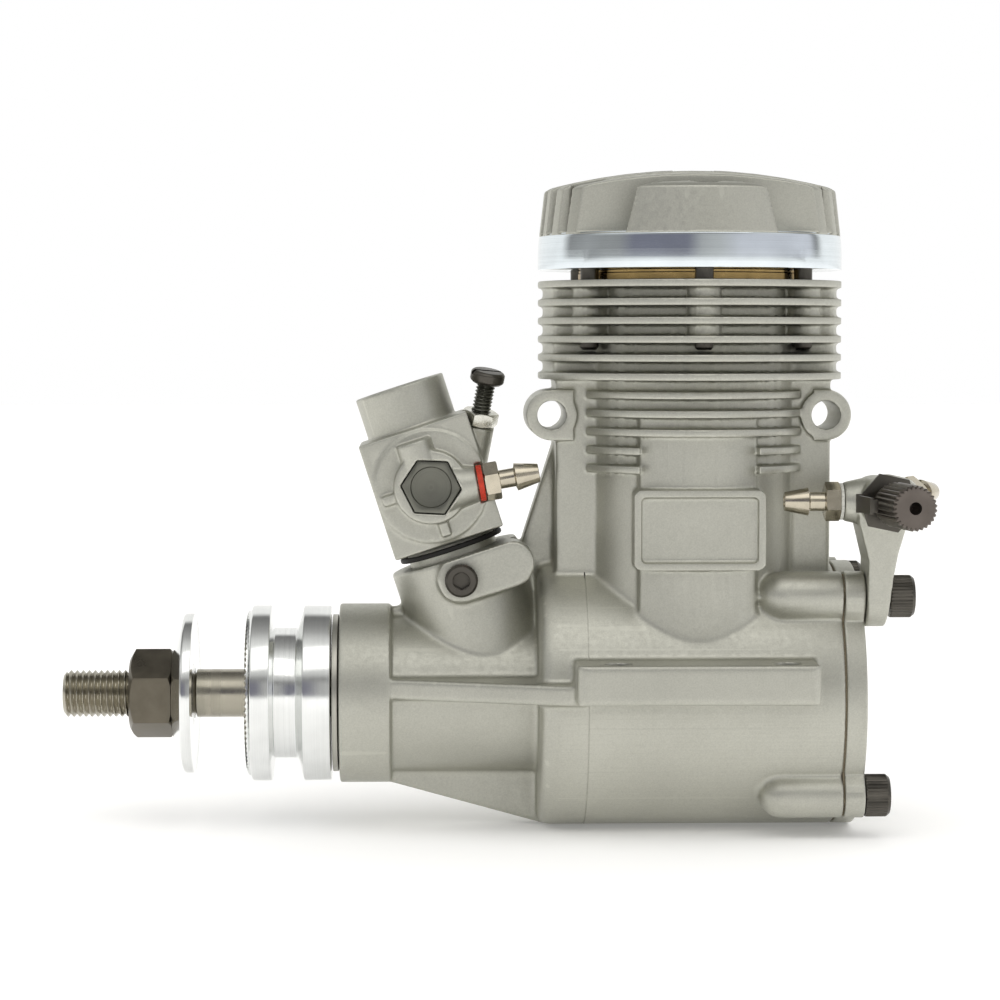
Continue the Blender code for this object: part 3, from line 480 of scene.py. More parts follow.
CAST = blasted_aluminium()
BRIGHT = turned("turned_aluminium", (0.86, 0.87, 0.86), 0.13)
RIM = turned("head_rim_aluminium", (0.80, 0.86, 0.90), 0.09, 12000, 0.008)
DULL = turned("sawn_aluminium", (0.50, 0.49, 0.44), 0.42, 5000)
STEEL = turned("ground_steel", (0.40, 0.375, 0.31), 0.26, 7000)
DARK_STEEL = turned("lathed_dark_steel", (0.17, 0.17, 0.145), 0.3, 3500, 0.03)
BLACK = black_oxide()
NUT_BLACK = black_oxide("nut_oxide", (0.135, 0.12, 0.092), 0.32)
KNOB_BLACK = black_oxide("knob_oxide", (0.15, 0.13, 0.115), 0.34)
BRASS = turned("turned_brass", (0.42, 0.29, 0.12), 0.3, 6000)
NICKEL = bright_plate("nickel_plate", (0.55, 0.5, 0.4), 0.14)
ZINC = bright_plate("zinc_plate", (0.74, 0.73, 0.66), 0.24)
RED = soft_stuff("red_fibre", (0.55, 0.045, 0.02), 0.6)
RUBBER = soft_stuff("black_rubber", (0.02, 0.019, 0.018), 0.62)
PAPER = soft_stuff("gasket_paper", (0.19, 0.16, 0.11), 0.85, 4000)
POLYMER = soft_stuff("pale_polymer", (0.66, 0.66, 0.6), 0.5)


# ---------------------------------------------------------------- crankcase casting

def case_body():
    """The parts of the casting that run into each other with full fillets."""
    body = lathe("case", [
        (CASE_REAR + 0.4, 0), (CASE_REAR + 0.4, CASE_R), (CASE_FRONT + 1.6, CASE_R),
        (CASE_FRONT + 0.4, CASE_R - 0.5), (CASE_FRONT, CASE_R - 1.8), (CASE_FRONT, HOUSING_R),
        (NOSE_REAR - 0.5, HOUSING_R), (NOSE_REAR - 0.5, 0)],
        SHAFT, soft=0.5, segments=160)
    end = math.degrees(math.asin(8.5 / 24.4))
    jacket_ends = arc((0, 0), 24.4, -end, end, 16) + arc((0, 0), 24.4, 180 - end, 180 + end, 16)
    side = math.degrees(math.asin(BOOST_HALF / 19.4))
    boost = arc((0, 0), 19.4, -90 - side, -90 + side, 24) + [(BOOST_HALF, -6), (-BOOST_HALF, -6)]
    adds = [
        prism("lower_web", along_y([(-50.5, -9), (-50.5, -14.6), (-24.5, -21.8), (-18, -21.8), (-18, -9)]),
              -2.5, 2.5, ENGINE @ ALONG_Y),
        prism("front_web", along_y([(-21, 42.4), (-22.6, 42.4), (-27.7, 26.5), (-29.5, 19), (-21, 14)]),
              -3, 3, ENGINE @ ALONG_Y),
        prism("collar_web", along_y([(-50.4, 11), (-50.4, 14.5), (-46.8, 14.5), (-44, 11)]),
              -1.1, 1.1, ENGINE @ ALONG_Y),
        bar("jacket", CORE_R, 6, DECK_Z - 0.35, ENGINE, 128),
        block("jacket_walls", (-22.6, -8.5, 12), (22.6, 8.5, 53)),
        prism("jacket_upper_walls", jacket_ends, 52.7, DECK_Z - 0.3, ENGINE),
        prism("boost_channel", boost, 6, 47, ENGINE),
        bar("neck", 10.8, 3, 24.6, NECK, 96),
        prism("neck_clamp_pad", link_outline((0, -21.0), 3.9, (8.5, -20.9), 3.85), -13.2, -6, NECK @ ALONG_Y),
        block("exhaust_duct", (-17.6, 8, 39.8), (17.6, 27.4, 52.6))]
    for hand in (-1, 1):
        lug = [(-20.2, hand * 14), (18.6, hand * 14), *lug_corner(18.6, 29.5, 1.4, hand),
               *lug_corner(-20.2, 29.5, -1.4, hand)]
        rib = [(-50.5, hand * 10), (-50.5, hand * 14.2), (-21, hand * 24.5), (-18, hand * 24.5),
               (-18, hand * 10)]
        adds.append(prism("beam_lug", lug, 1.2, 7.6, ENGINE))
        adds.append(prism("side_rib", rib, 0.5, 3.9, ENGINE))
    for y, z in BACK_SCREWS:
        radius = 4.1 if z > 0 else 3.6
        nose = [(CASE_REAR + 0.3, 0), (CASE_REAR + 0.3, radius), *[
            (10 + radius - radius * math.sin(a), radius * math.cos(a))
            for a in (math.radians(11.25 * k) for k in range(8))], (10, 0)]
        adds.append(lathe("screw_boss", nose, ENGINE @ shift(0, y, z) @ ALONG_X, 0, 48))
    return cast(combine(body, adds), 0.4, 6)


def lug_corner(x, y, radius, hand):
    bend = arc((x - radius, hand * (y - abs(radius))), abs(radius), 0, hand * 90, 8)
    if radius > 0:
        return bend
    return [(2 * (x - radius) - px, py) for px, py in reversed(bend)]


def fins():
    """Thin plates with eased edges: full circles above, smaller and set off to the near side below."""
    plates = []
    for i in range(UPPER_FINS + LOWER_FINS):
        upper = i < UPPER_FINS
        middle = TOP_FIN_Z - i * FIN_PITCH
        radius = FIN_R if upper else CORE_R
        place = ENGINE if upper else ENGINE @ shift(0, -4, 0)
        outline = [(middle + FIN_THICK / 2, 0), (middle + FIN_THICK / 2, radius),
                   (middle - FIN_THICK / 2, radius), (middle - FIN_THICK / 2, 0)]
        plate = lathe("fin", outline, place, 0.0, 176)
        if i >= UPPER_FINS + WHOLE_LOWER_FINS:
            combine(plate, cuts=[block("gap", (-BOOST_HALF, -30, 30), (BOOST_HALF, -17, 45))])
        plates.append(plate)
    return plates


def crankcase():
    case = case_body()
    adds = [*fins(),
            lathe("nose_collar", [(NOSE_REAR, 0), (NOSE_REAR, HOUSING_R - 0.5), (NOSE_REAR - 0.3, NOSE_R),
                                  (NOSE_FRONT, NOSE_R), (NOSE_FRONT, 0)], SHAFT, 0.3, 160),
            prism("name_plate", rounded_rectangle(10.65, 6.45, 1.3), -20.55, -15.2,
                  ENGINE @ shift(0, 0, 28.4) @ ALONG_Y)]
    adds += [bar("silencer_ear", 4.15, -9.4, 6.0, ENGINE @ shift(x, 0, EAR_Z) @ ALONG_Y, 72) for x in EARS_X]
    adds += [block("ear_pad", (low, -9.4, EAR_Z - 4.15), (high, 6.0, EAR_Z + 4.15))
             for low, high in ((-23.3, -19.7), (19.7, 21.7))]
    adds += [bar("head_screw_boss", 2.8, TOP_FIN_Z - 3 * FIN_PITCH, DECK_Z - 0.4, ENGINE @ shift(x, y, 0), 40)
             for x, y in HEAD_SCREWS]
    cuts = [
        bar("chamber", 20.5, -16.3, 40, SHAFT, 128),
        bar("rear_bearing_seat", 14.15, -23.75, 0, SHAFT, 96),
        bar("journal_bore", 7.7, -55, -18, SHAFT, 64),
        bar("front_bearing_seat", 11.15, -70, -50.25, SHAFT, 96),
        bar("liner_bore", 15.35, 2, 75, ENGINE, 128),
        block("boost_passage", (-6.5, -17.9, 8), (6.5, -10, 46)),
        block("rod_relief", (-5.2, 10, 8), (5.2, 17.0, 30)),
        block("front_passage", (-20.2, -6.5, 21.3), (-12, 6.5, 48)),
        block("rear_passage", (12, -6.5, 8), (18.7, 6.5, 48)),
        block("exhaust_passage", (-12.5, 12, 42.3), (12.5, 32, 50.6)),
        block("rear_face", (CASE_REAR + 0.15, -40, -40), (40, 40, 30)),
        bar("stub_bore", 7.75, 14.5, 30, NECK, 72),
        bar("intake_bore", 6.2, 5, 20, NECK, 64),
        bar("clamp_screw_hole", 1.7, -16, -5, NECK @ shift(0, 0, 21.0) @ ALONG_Y, 32),
        block("neck_face", (-11.3, -14, 24.4), (11.3, 14, 40), NECK),
        name_plate_recess()]
    for x in EARS_X:
        cuts.append(bar("ear_hole", 2.37, -12, 10, ENGINE @ shift(x, 0, EAR_Z) @ ALONG_Y, 48))
    for x in (-13.5, 13.5):
        for y in (-26.0, 26.0):
            cuts.append(bar("lug_hole", 2.25, -4, 12, ENGINE @ shift(x, y, 0), 48))
    for y, z in BACK_SCREWS:
        cuts.append(bar("cover_screw_hole", 1.9, 14, 30, ENGINE @ shift(0, y, z) @ ALONG_X, 32))
    for x, y in HEAD_SCREWS:
        cuts.append(bar("head_screw_hole", 1.7, 57.2, 75, ENGINE @ shift(x, y, 0), 32))
    cast(combine(case, adds, cuts), 0.25, 2, keep=0.2)
    combine(case, cuts=[ring("parting_line", CASE_R - 0.14, CASE_R + 0.5, -17.95, -17.77, SHAFT, 0, 160)])
    case.name = "crankcase_casting"
    return finish(case, CAST, "block", "crankcase", slot="cast_aluminium")


def name_plate_recess():
    return prism("name_plate_recess", rounded_rectangle(9.45, 5.3, 0.9), -22.5, -19.6,
                 ENGINE @ shift(0, 0, 28.4) @ ALONG_Y)


# ---------------------------------------------------------------- other castings

def backplate():
    outline = []
    for i in range(240):
        ray = Vector((math.cos(TAU * i / 240), math.sin(TAU * i / 240)))
        reach = CASE_R
        for y, z in BACK_SCREWS:
            ear = 4.1 if z > 0 else 3.6
            centre = Vector((y, z))
            across = abs(ray.x * centre.y - ray.y * centre.x)
            if across < ear and ray.dot(centre) > 0:
                reach = max(reach, ray.dot(centre) + math.sqrt(ear * ear - across * across))
        outline.append(tuple(ray * reach))
    cover = prism("backplate_casting", along_x(outline), CASE_REAR + 0.4, BACK, SHAFT)
    plug = lathe("plug", [(CASE_REAR + 2, 0), (CASE_REAR + 2, 20.0), (6.4, 20.0), (6.4, 17.5),
                          (CASE_REAR - 1, 17.0), (CASE_REAR - 1, 0)], SHAFT, 0, 128)
    holes = [bar("hole", 2.2, 20, 30, ENGINE @ shift(0, y, z) @ ALONG_X, 32) for y, z in BACK_SCREWS]
    combine(cover, [plug], holes)
    cast(cover, 0.22, 2, keep=0.25)
    return finish(cover, CAST, "block", "backplate", slot="cast_aluminium")


def dome(radius):
    return 86.9 - 0.0056 * radius * radius


def head_cuts():
    cuts = [bar("plug_hole", 3.2, 60, 90, ENGINE, 48), bar("plug_well", 7.0, 77.0, 95, ENGINE, 96)]
    for x, y in HEAD_SCREWS:
        cuts.append(bar("bolt_hole", 1.7, 60, 95, ENGINE @ shift(x, y, 0), 32))
        cuts.append(bar("bolt_seat", 3.0, 77.3, 95, ENGINE @ shift(x, y, 0), 48))
    return cuts


def head_casting():
    """The finned crown: deep grooves fore and aft between crowned fins."""
    top = [(dome(r), r) for r in (0, 4, 8, 12, 16, 20, 22.8)]
    head = lathe("head_casting", [*top, (dome(23.4) - 0.08, 23.4), (83.3, 24.15), (HEAD_RIM_Z - 0.1, 25.0),
                                  (HEAD_RIM_Z - 0.1, 0)], ENGINE, 0, 192)
    grooves = []
    for low, high in ((2.1, 4.3), (6.5, 8.7), (10.9, 13.1), (15.3, 21.8)):
        grooves.append(block("groove_near", (-30, -high, HEAD_RIM_Z + 0.1), (30, -low, 95)))
        grooves.append(block("groove_far", (-30, low, HEAD_RIM_Z + 0.1), (30, high, 95)))
    combine(head, cuts=[*grooves, *head_cuts()])
    cast(head, 0.2, 3, keep=0.25)
    return finish(head, CAST, "block", "cylinder_head", slot="cast_aluminium")


def head_rim():
    rim = lathe("head_rim", [
        (HEAD_RIM_Z + 0.3, 0), (HEAD_RIM_Z + 0.3, 24.6), (HEAD_RIM_Z - 0.02, 24.7),
        (HEAD_RIM_Z - 0.05, 24.98), (75.3, 25.06), (74.4, 25.13), (73.4, 25.18), (72.2, FIN_R),
        (HEAD_BASE_Z, FIN_R), (HEAD_BASE_Z, 13.05), (64.8, 13.05), (64.8, 9.2), (67.6, 7.5), (69.3, 3.2),
        (69.3, 0)], ENGINE, 0.15, 224)
    holes = [bar("bolt_hole", 1.7, 60, 95, ENGINE @ shift(x, y, 0), 32) for x, y in HEAD_SCREWS]
    combine(rim, cuts=[*holes, bar("plug_hole", 3.2, 60, 90, ENGINE, 48)])
    return finish(rim, RIM, "block", "cylinder_head", slot="machined_aluminium")


def carburettor_body():
    body = block("carburettor_casting", (-9.25, -9.75, -9.85), (9.25, 9.75, 9.85), CARB)
    combine(body, [
        bar("intake_tube", 7.55, 5, 17.0, CARB, 112),
        bar("neck_stub", 7.45, -21.5, -8, CARB, 96),
        bar("cover_disc", 9.2, -10.15, -9, CARB @ ALONG_Y, 96),
        bar("inlet_boss", 6.0, -13.4, -9, CARB @ ALONG_Y, 80),
        bar("inlet_lobe", 2.95, 3, 7.9, CARB @ shift(-0.5, -11.4, 0), 56),
        block("inlet_rib_front", (-8.2, -12.2, -0.8), (-5, -9, 0.8), CARB),
        block("inlet_rib_lower", (-0.8, -12.2, -8.4), (0.8, -9, -5), CARB),
        bar("nipple_boss", 4.2, 1.5, 7.4, CARB_NIPPLE, 64, end_radius=2.95),
        bar("idle_stop_boss", 2.7, -12.5, -2.1, IDLE, 56),
        bar("bearing_boss", 7.6, 9, 11.6, CARB @ ALONG_Y, 80)])
    cast(body, 0.22, 4)
    combine(body, cuts=[
        bar("venturi", 5.0, -26, 22, CARB, 96),
        bar("mouth", 5.0, 14.4, 17.6, CARB, 96, end_radius=6.9),
        bar("throttle_bore", 6.4, -8.2, 16, CARB @ ALONG_Y, 80),
        hexagon("plug_recess", 8.7, -16, -11.3, CARB @ ALONG_Y, 21),
        bar("idle_spot_face", 3.35, -2.05, 9, IDLE, 48),
        bar("idle_thread", 1.7, -11, 3, IDLE, 32),
        bar("nipple_spot_face", 3.6, 7.45, 14, CARB_NIPPLE, 48),
        bar("nipple_thread", 1.6, 4.4, 12, CARB_NIPPLE, 32)])
    cast(body, 0.17, 2, keep=0.25)
    return finish(body, CAST, "block", "carburettor_body", slot="cast_aluminium")


def needle_bracket():
    foot = BACK_SCREWS[0]
    arm = prism("needle_bracket_casting", along_x(link_outline(foot, 4.9, (-17.6, 32.4), 3.9)), BACK - 1.6,
                BACK + 6.3, SHAFT)
    front = [(20, 8), (BACK + 0.15, 8), (BACK + 0.15, 23.5), (BACK - 1.5, 29.6), (BACK - 1.5, 40), (20, 40)]
    rear = [(40, 8), (29.9, 8), (31.2, 20.5), (31.9, 24.5), (33.2, 29.2), (33.2, 40), (40, 40)]
    combine(arm, cuts=[prism("front_side", along_y(front), -40, 0, ENGINE @ ALONG_Y),
                       prism("rear_side", along_y(rear), -40, 0, ENGINE @ ALONG_Y)])
    combine(arm, [bar("holder", 4.1, -4.6, 4.4, NEEDLE @ ALONG_Y, 72),
                  bar("inlet_cone", 4.0, 2.0, 6.0, INLET, 56, end_radius=3.1),
                  bar("outlet_cone", 4.0, 2.0, 7.0, OUTLET, 56, end_radius=3.1)])
    cast(arm, 0.22, 4)
    combine(arm, cuts=[bar("spot_face", 3.75, BACK + 4.1, 45, ENGINE @ shift(0, *foot) @ ALONG_X, 64),
                       bar("screw_hole", 2.2, 20, 40, ENGINE @ shift(0, *foot) @ ALONG_X, 40),
                       bar("needle_bore", 2.1, -9, 3.6, NEEDLE @ ALONG_Y, 40),
                       bar("inlet_thread", 1.6, 0.5, 12, INLET, 32),
                       bar("outlet_thread", 1.6, 0.5, 12, OUTLET, 32)])
    cast(arm, 0.16, 1, keep=0.25)
    return finish(arm, CAST, "block", "needle_bracket", slot="cast_aluminium")


# ---------------------------------------------------------------- propeller drive and shaft

PITCH = 1.0
SHAFT_TIP = -104.1
THREAD_END = -82.5


def threaded(name, radius, depth, low, high, pitch, place, tip_low=True, segments=72):
    """A helical V thread that fades out at its tip."""
    def radius_at(station, angle):
        from_tip = station - low if tip_low else high - station
        crest = radius - depth * (1 - wave(station / pitch - angle / TAU)) ** 1.1
        return min(crest, radius - depth * 1.3 + from_tip * 1.2)
    return field(name, steps_between(low, high, pitch / 10), radius_at, place, segments)


def crankshaft():
    shaft = lathe("crankshaft_forging", [
        (-43, 0), (-43, 5.0), (-5.6, 5.0), (-5.6, 18.5), (-15.0, 18.5), (-15.0, 8.7), (-16.4, 8.7),
        (-16.4, 7.45), (-49.9, 7.45), (-50.1, 4.0), (-82.0, 4.0), (-82.2, 3.3), (THREAD_END, 3.3),
        (THREAD_END, 0)], SHAFT, 0.1, 96)
    combine(shaft, cuts=[block("relief", (-20, 8.5, -24), (-2, 24, -2)),
                         block("relief", (-20, -24, -24), (-2, -8.5, -2)),
                         block("intake_window", (-38, -5.5, 3), (-27, 5.5, 12))])
    finish(shaft, STEEL, "crankshaft_group", "crankshaft", slot="steel")
    thread = threaded("propeller_thread", 3.92, 0.56, SHAFT_TIP, THREAD_END + 0.02, PITCH, SHAFT)
    return finish(thread, STEEL, "crankshaft_group", "crankshaft", slot="steel")


def drive_hub():
    """Grooved hub whose front face is serrated to grip the propeller."""
    hub = lathe("grooved_drive_hub", [
        (-59.6, 6.8), (-59.6, 14.5), (-64.1, 14.6), (-65.3, 10.85),
        (-69.0, 10.85), (-69.5, 14.6), (-72.6, 14.6), (-73.2, 13.4), (-73.2, 4.35), (-72.2, 4.35),
        (-71.9, 5.7)], SHAFT, 0.22, 192)
    finish(hub, BRIGHT, "crankshaft_group", "drive_hub", slot="machined_aluminium")
    teeth = 84
    form = bmesh.new()
    radii = [5.0, 5.4, 13.2, 13.75]
    depths = [0.0, 0.45, 0.45, 0.2]
    rings = []
    for radius, depth in zip(radii, depths):
        rings.append([form.verts.new((radius * math.cos(a), radius * math.sin(a),
                                      -73.15 - depth * wave(i / 4)))
                      for i, a in ((i, TAU * i / (4 * teeth)) for i in range(4 * teeth))])
    for one, two in zip(rings, rings[1:]):
        for i in range(4 * teeth):
            j = (i + 1) % (4 * teeth)
            form.faces.new((one[i], one[j], two[j], two[i]))
    back = [[form.verts.new((r * math.cos(TAU * i / (4 * teeth)), r * math.sin(TAU * i / (4 * teeth)), -72.9))
             for i in range(4 * teeth)] for r in (radii[0], radii[-1])]
    for one, two in ((rings[0], back[0]), (back[0], back[1]), (back[1], rings[-1])):
        for i in range(4 * teeth):
            j = (i + 1) % (4 * teeth)
            form.faces.new((one[i], one[j], two[j], two[i]))
    grip = make("hub_serrations", form, SHAFT, sharp=20)
    return finish(grip, BRIGHT, "crankshaft_group", "drive_hub", slot="machined_aluminium")


def drive_washers():
    collar = ring("thrust_collar", 4.3, 13.1, -59.35, -58.45, SHAFT, 0.08, 160)
    finish(collar, DULL, "crankshaft_group", "thrust_washer", slot="cast_aluminium")
    washer = lathe("propeller_washer", [
        (-82.4, 4.15), (-82.4, 13.3), (-83.7, 13.3), (-84.05, 13.1), (-85.9, 7.4), (-85.9, 4.15)],
        SHAFT, 0.12, 192)
    return finish(washer, BRIGHT, "crankshaft_group", "prop_washer", slot="machined_aluminium")


def propeller_nut():
    nut = hexagon("propeller_nut", 13.0, -93.05, -86.05, SHAFT, 4)
    chamfer = lathe("chamfer", [
        (-85, 0), (-85, 6.5), (-86.05, 6.9), (-86.75, 7.9), (-91.9, 7.9), (-93.05, 5.9), (-95, 5.0),
        (-95, 0)], SHAFT, 0, 160)
    combine(nut, keeps=[chamfer], cuts=[bar("nut_bore", 4.05, -96, -84, SHAFT, 64),
                                       bar("countersink", 5.0, -94.0, -92.3, SHAFT, 64, end_radius=3.9)])
    bevel(nut, 0.18)
    return finish(nut, NUT_BLACK, "crankshaft_group", "prop_nut", slot="black_steel")


def bevel(piece, width, angle=28):
    change = piece.modifiers.new("bevel", "BEVEL")
    change.width = width * MM
    change.segments = 3
    change.limit_method = "ANGLE"
    change.angle_limit = math.radians(angle)
    change.harden_normals = False
    return settle(piece, 40)


# ---------------------------------------------------------------- screws

def cap_screw(name, thread_r, head_r, head_height, length, socket, place, node):
    """A socket cap screw with a finely knurled head; zero is under the head."""
    teeth = 36

    def radius_at(station, angle):
        knurl = 0.14 * wave(angle / TAU * teeth)
        crown = max(0.0, station - (head_height - 0.55))
        foot = max(0.0, 0.25 - station)
        return head_r - 0.04 - knurl * (crown == 0 and foot == 0) - crown * 0.75 - foot * 0.6
    stations = [0, 0.25, 0.3, head_height * 0.5, head_height - 0.6, head_height - 0.5, head_height - 0.25,
                head_height]
    screw = field(name, stations, radius_at, place, teeth * 6)
    shank = lathe("shank", [(0.5, 0), (0.5, thread_r), (0.4 - length, thread_r), (-length, thread_r - 0.4),
                            (-length, 0)], place, 0, 40)
    recess = hexagon("socket", socket, head_height * 0.42, head_height + 1, place)
    mouth = bar("mouth", socket * 0.5, head_height - 0.22, head_height + 0.2, place, 48,
                end_radius=socket * 0.5 + 0.45)
    combine(screw, adds=[shank], cuts=[recess, mouth], sharp=25)
    return finish(screw, BLACK, "block", node, slot="black_steel")


def screws():
    for i, (y, z) in enumerate(BACK_SCREWS):
        seat = BACK + (4.2 if i == 0 else 0.15)
        cap_screw(f"cover_screw_{i + 1}", 1.75, 3.5, 4.0, seat - 15.5, 3.0,
                  ENGINE @ shift(seat, y, z) @ ALONG_X @ turn(z=17 * i), f"backplate_screw_{i + 1}")
    for i, (x, y) in enumerate(HEAD_SCREWS):
        cap_screw(f"head_cap_screw_{i + 1}", 1.5, 2.75, 3.0, 20.2, 2.5,
                  ENGINE @ shift(x, y, 77.5) @ turn(z=23 * i), f"head_screw_{i + 1}")
    return cap_screw("neck_cap_screw", 1.5, 2.75, 2.6, 5.2, 2.5, CLAMP @ turn(z=12),
                     "carburettor_clamp_screw")


def idle_stop():
    """Slotted cheese-head screw over a bare thread, with a plated lock nut."""
    head = lathe("idle_stop_head", [(7.3, 0), (7.3, 2.45), (6.9, 2.85), (5.6, 2.85), (5.1, 2.3), (5.1, 0)],
                 IDLE,
                 0.2, 96)
    combine(head, cuts=[block("slot", (-4, -0.35, 6.5), (4, 0.35, 9), IDLE @ turn(z=24))], sharp=25)
    finish(head, BLACK, "idle_stop", "idle_stop_screw", slot="black_steel")
    thread = threaded("idle_stop_thread", 1.6, 0.34, -8.8, 5.15, 0.6, IDLE, segments=48)
    finish(thread, DARK_STEEL, "idle_stop", "idle_stop_screw", slot="black_steel")
    nut = hexagon("idle_lock_nut", 5.5, -1.95, 0.35, IDLE, 12)
    chamfer = lathe("chamfer", [(1, 0), (1, 2.2), (0.35, 2.65), (-0.05, 3.3), (-1.55, 3.3), (-1.95, 2.65),
                                (-2.6, 2.2), (-2.6, 0)], IDLE, 0, 64)
    combine(nut, keeps=[chamfer], cuts=[bar("nut_bore", 1.65, -5, 5, IDLE, 40)])
    bevel(nut, 0.07)
    return finish(nut, ZINC, "block", "idle_stop_nut", slot="nickel_plate")


# ---------------------------------------------------------------- fuel fittings

def hose_nipple(name, place, seat, washer, thread, node):
    """Plated nipple: a hexagon, a waist and a long barb with a bore."""
    base = seat + washer
    nipple = lathe(name, [
        (base + 9.0, 0.9), (base + 9.0, 1.5), (base + 5.15, 2.3), (base + 4.95, 1.55), (base + 2.5, 1.55),
        (base + 2.4, 2.3), (base + 0.3, 2.3), (base + 0.05, 1.45), (seat - thread, 1.45),
        (seat - thread, 0.9)], place, 0.1, 72)
    hexa = hexagon("hexa", 5.5, base + 0.08, base + 2.45, place, 8)
    chamfer = lathe("chamfer", [(base + 2.5, 0), (base + 2.5, 2.8), (base + 2.3, 3.2), (base + 0.23, 3.2),
                                (base, 2.8), (base, 0)], place, 0, 64)
    combine(hexa, keeps=[chamfer])
    combine(nipple, adds=[hexa])
    combine(nipple, cuts=[bar("bore", 0.9, seat - thread - 1, base + 10, place, 32)])
    return finish(nipple, NICKEL, "block", node, slot="nickel_plate")


def fittings():
    hose_nipple("carburettor_hose_nipple", CARB_NIPPLE, 7.5, 1.1, 2.6, "carburettor_nipple")
    hose_nipple("inlet_hose_nipple", INLET, 6.1, 0.45, 2.2, "inlet_nipple")
    hose_nipple("outlet_hose_nipple", OUTLET, 7.1, 0.45, 2.0, "outlet_nipple")
    finish(ring("red_sealing_washer", 1.65, 2.95, 7.55, 8.45, CARB_NIPPLE, 0.12, 64), RED, "block",
           "nipple_washer", slot="red_fibre")
    finish(ring("inlet_sealing_washer", 1.65, 2.95, 6.1, 6.6, INLET, 0.1, 64), POLYMER, "block",
           "inlet_nipple_washer", slot="polymer")
    return finish(ring("outlet_sealing_washer", 1.65, 2.95, 7.1, 7.6, OUTLET, 0.1, 64), POLYMER, "block",
                  "outlet_nipple_washer", slot="polymer")


def inlet_plug():
    """A turned hexagon plug with a dished, ringed face."""
    place = CARB @ ALONG_Y
    plug = hexagon("fuel_inlet_plug", 8.3, -12.9, -11.45, place, 21)
    combine(plug, cuts=[lathe("dish", [(-12.5, 0), (-12.5, 3.2), (-12.75, 3.35), (-13.2, 3.4), (-13.2, 0)],
                              place, 0, 80)])
    bevel(plug, 0.12)
    return finish(plug, DARK_STEEL, "block", "carburettor_inlet_plug", slot="black_steel")


def neck_gasket():
    seal = ring("neck_rubber_seal", 7.65, 8.8, -11.35, -10.5, CARB, 0.4, 128)
    return finish(seal, RUBBER, "block", "carburettor_gasket", slot="rubber")


def needle_knob():
    """Long knob with straight splines, a grooved collar and a bored end."""
    teeth = 28

    def radius_at(station, angle):
        ends = min(station + 20.3, -9.05 - station)
        spline = 0.34 * wave(angle / TAU * teeth) ** 0.8
        return 3.2 + spline + min(0.06, 0.2 * ends) - max(0.0, 0.35 - ends) * 0.7
    place = NEEDLE @ ALONG_Y
    stations = [-20.3, -20.12, -19.95, -19.7, -15, -9.6, -9.4, -9.2, -9.05]
    knob = field("needle_knob", stations, radius_at, place, teeth * 10)
    stem = lathe("stem", [(2.4, 0), (2.4, 0.3), (-1.5, 1.2), (-7.2, 1.2), (-7.3, 3.1), (-9.3, 3.15),
                          (-9.3, 0)], place, 0, 64)
    combine(knob, adds=[stem], cuts=[bar("end_bore", 1.0, -21, -15, place, 40)], sharp=25)
    return finish(knob, KNOB_BLACK, "fuel_needle", "needle_valve", slot="black_steel")


def ratchet_spring():
    """The bent leaf that the knob clicks past."""
    place = NEEDLE @ ALONG_Y
    spring = hexagon("ratchet_leaf", 8.6, -5.35, -4.75, place, 12)
    combine(spring, cuts=[bar("eye", 2.4, -8, -3, place, 48)])
    combine(spring, adds=[block("foot", (-5.3, -5.35, -1.5), (-3.6, -4.75, 1.5), NEEDLE),
                          block("finger", (-5.3, -13.2, -1.3), (-4.7, -4.9, 1.3), NEEDLE),
                          block("tip", (-5.0, -13.2, -1.0), (-3.95, -12.5, 1.0), NEEDLE)])
    bevel(spring, 0.1)
    return finish(spring, BLACK, "block", "ratchet_spring", slot="black_steel")


# ---------------------------------------------------------------- throttle

def throttle():
    place = CARB @ ALONG_Y
    barrel = lathe("throttle_drum", [
        (4, 0), (4, 1.6), (14.6, 1.6), (14.6, 3.2), (12.2, 3.2), (11.9, 6.2), (-7.9, 6.2), (-7.9, 0)],
        place, 0.1, 96)
    combine(barrel, cuts=[bar("gate", 4.4, -9, 9, CARB, 80)])
    finish(barrel, STEEL, "throttle", "throttle_barrel", slot="steel")
    arm = prism("throttle_lever", along_y(link_outline((0, 0), 5.0, (4.5, 13.5), 2.4)), 12.5, 14.0, place)
    combine(arm, cuts=[bar("arm_bore", 3.35, 8, 20, place, 64),
                       bar("link_hole", 0.9, 8, 20, CARB @ shift(4.5, 0, 13.5) @ ALONG_Y, 32)])
    bevel(arm, 0.2)
    finish(arm, BLACK, "throttle", "throttle_arm", slot="black_steel")
    nut = field("throttle_ring_nut", [14.15, 14.3, 14.35, 15.2, 15.25, 15.4],
                lambda station, angle: 4.4 - 0.12 * wave(angle / TAU * 40) - 0.1 * (station in (14.15, 15.4)),
                place, 240, bore=3.4)
    finish(nut, BRASS, "throttle", "throttle_arm_nut", slot="brass")
    needle = lathe("idle_mixture_needle", [
        (17.6, 0), (17.6, 2.3), (15.7, 2.3), (15.6, 1.3), (5.5, 1.3), (4.4, 0.4), (4.4, 0)], place, 0.12, 64)
    combine(needle, cuts=[block("slot", (-3, 16.9, -0.3), (3, 19, 0.3), CARB)])
    return finish(needle, BRASS, "idle_mixture_screw", "low_speed_needle", slot="brass")


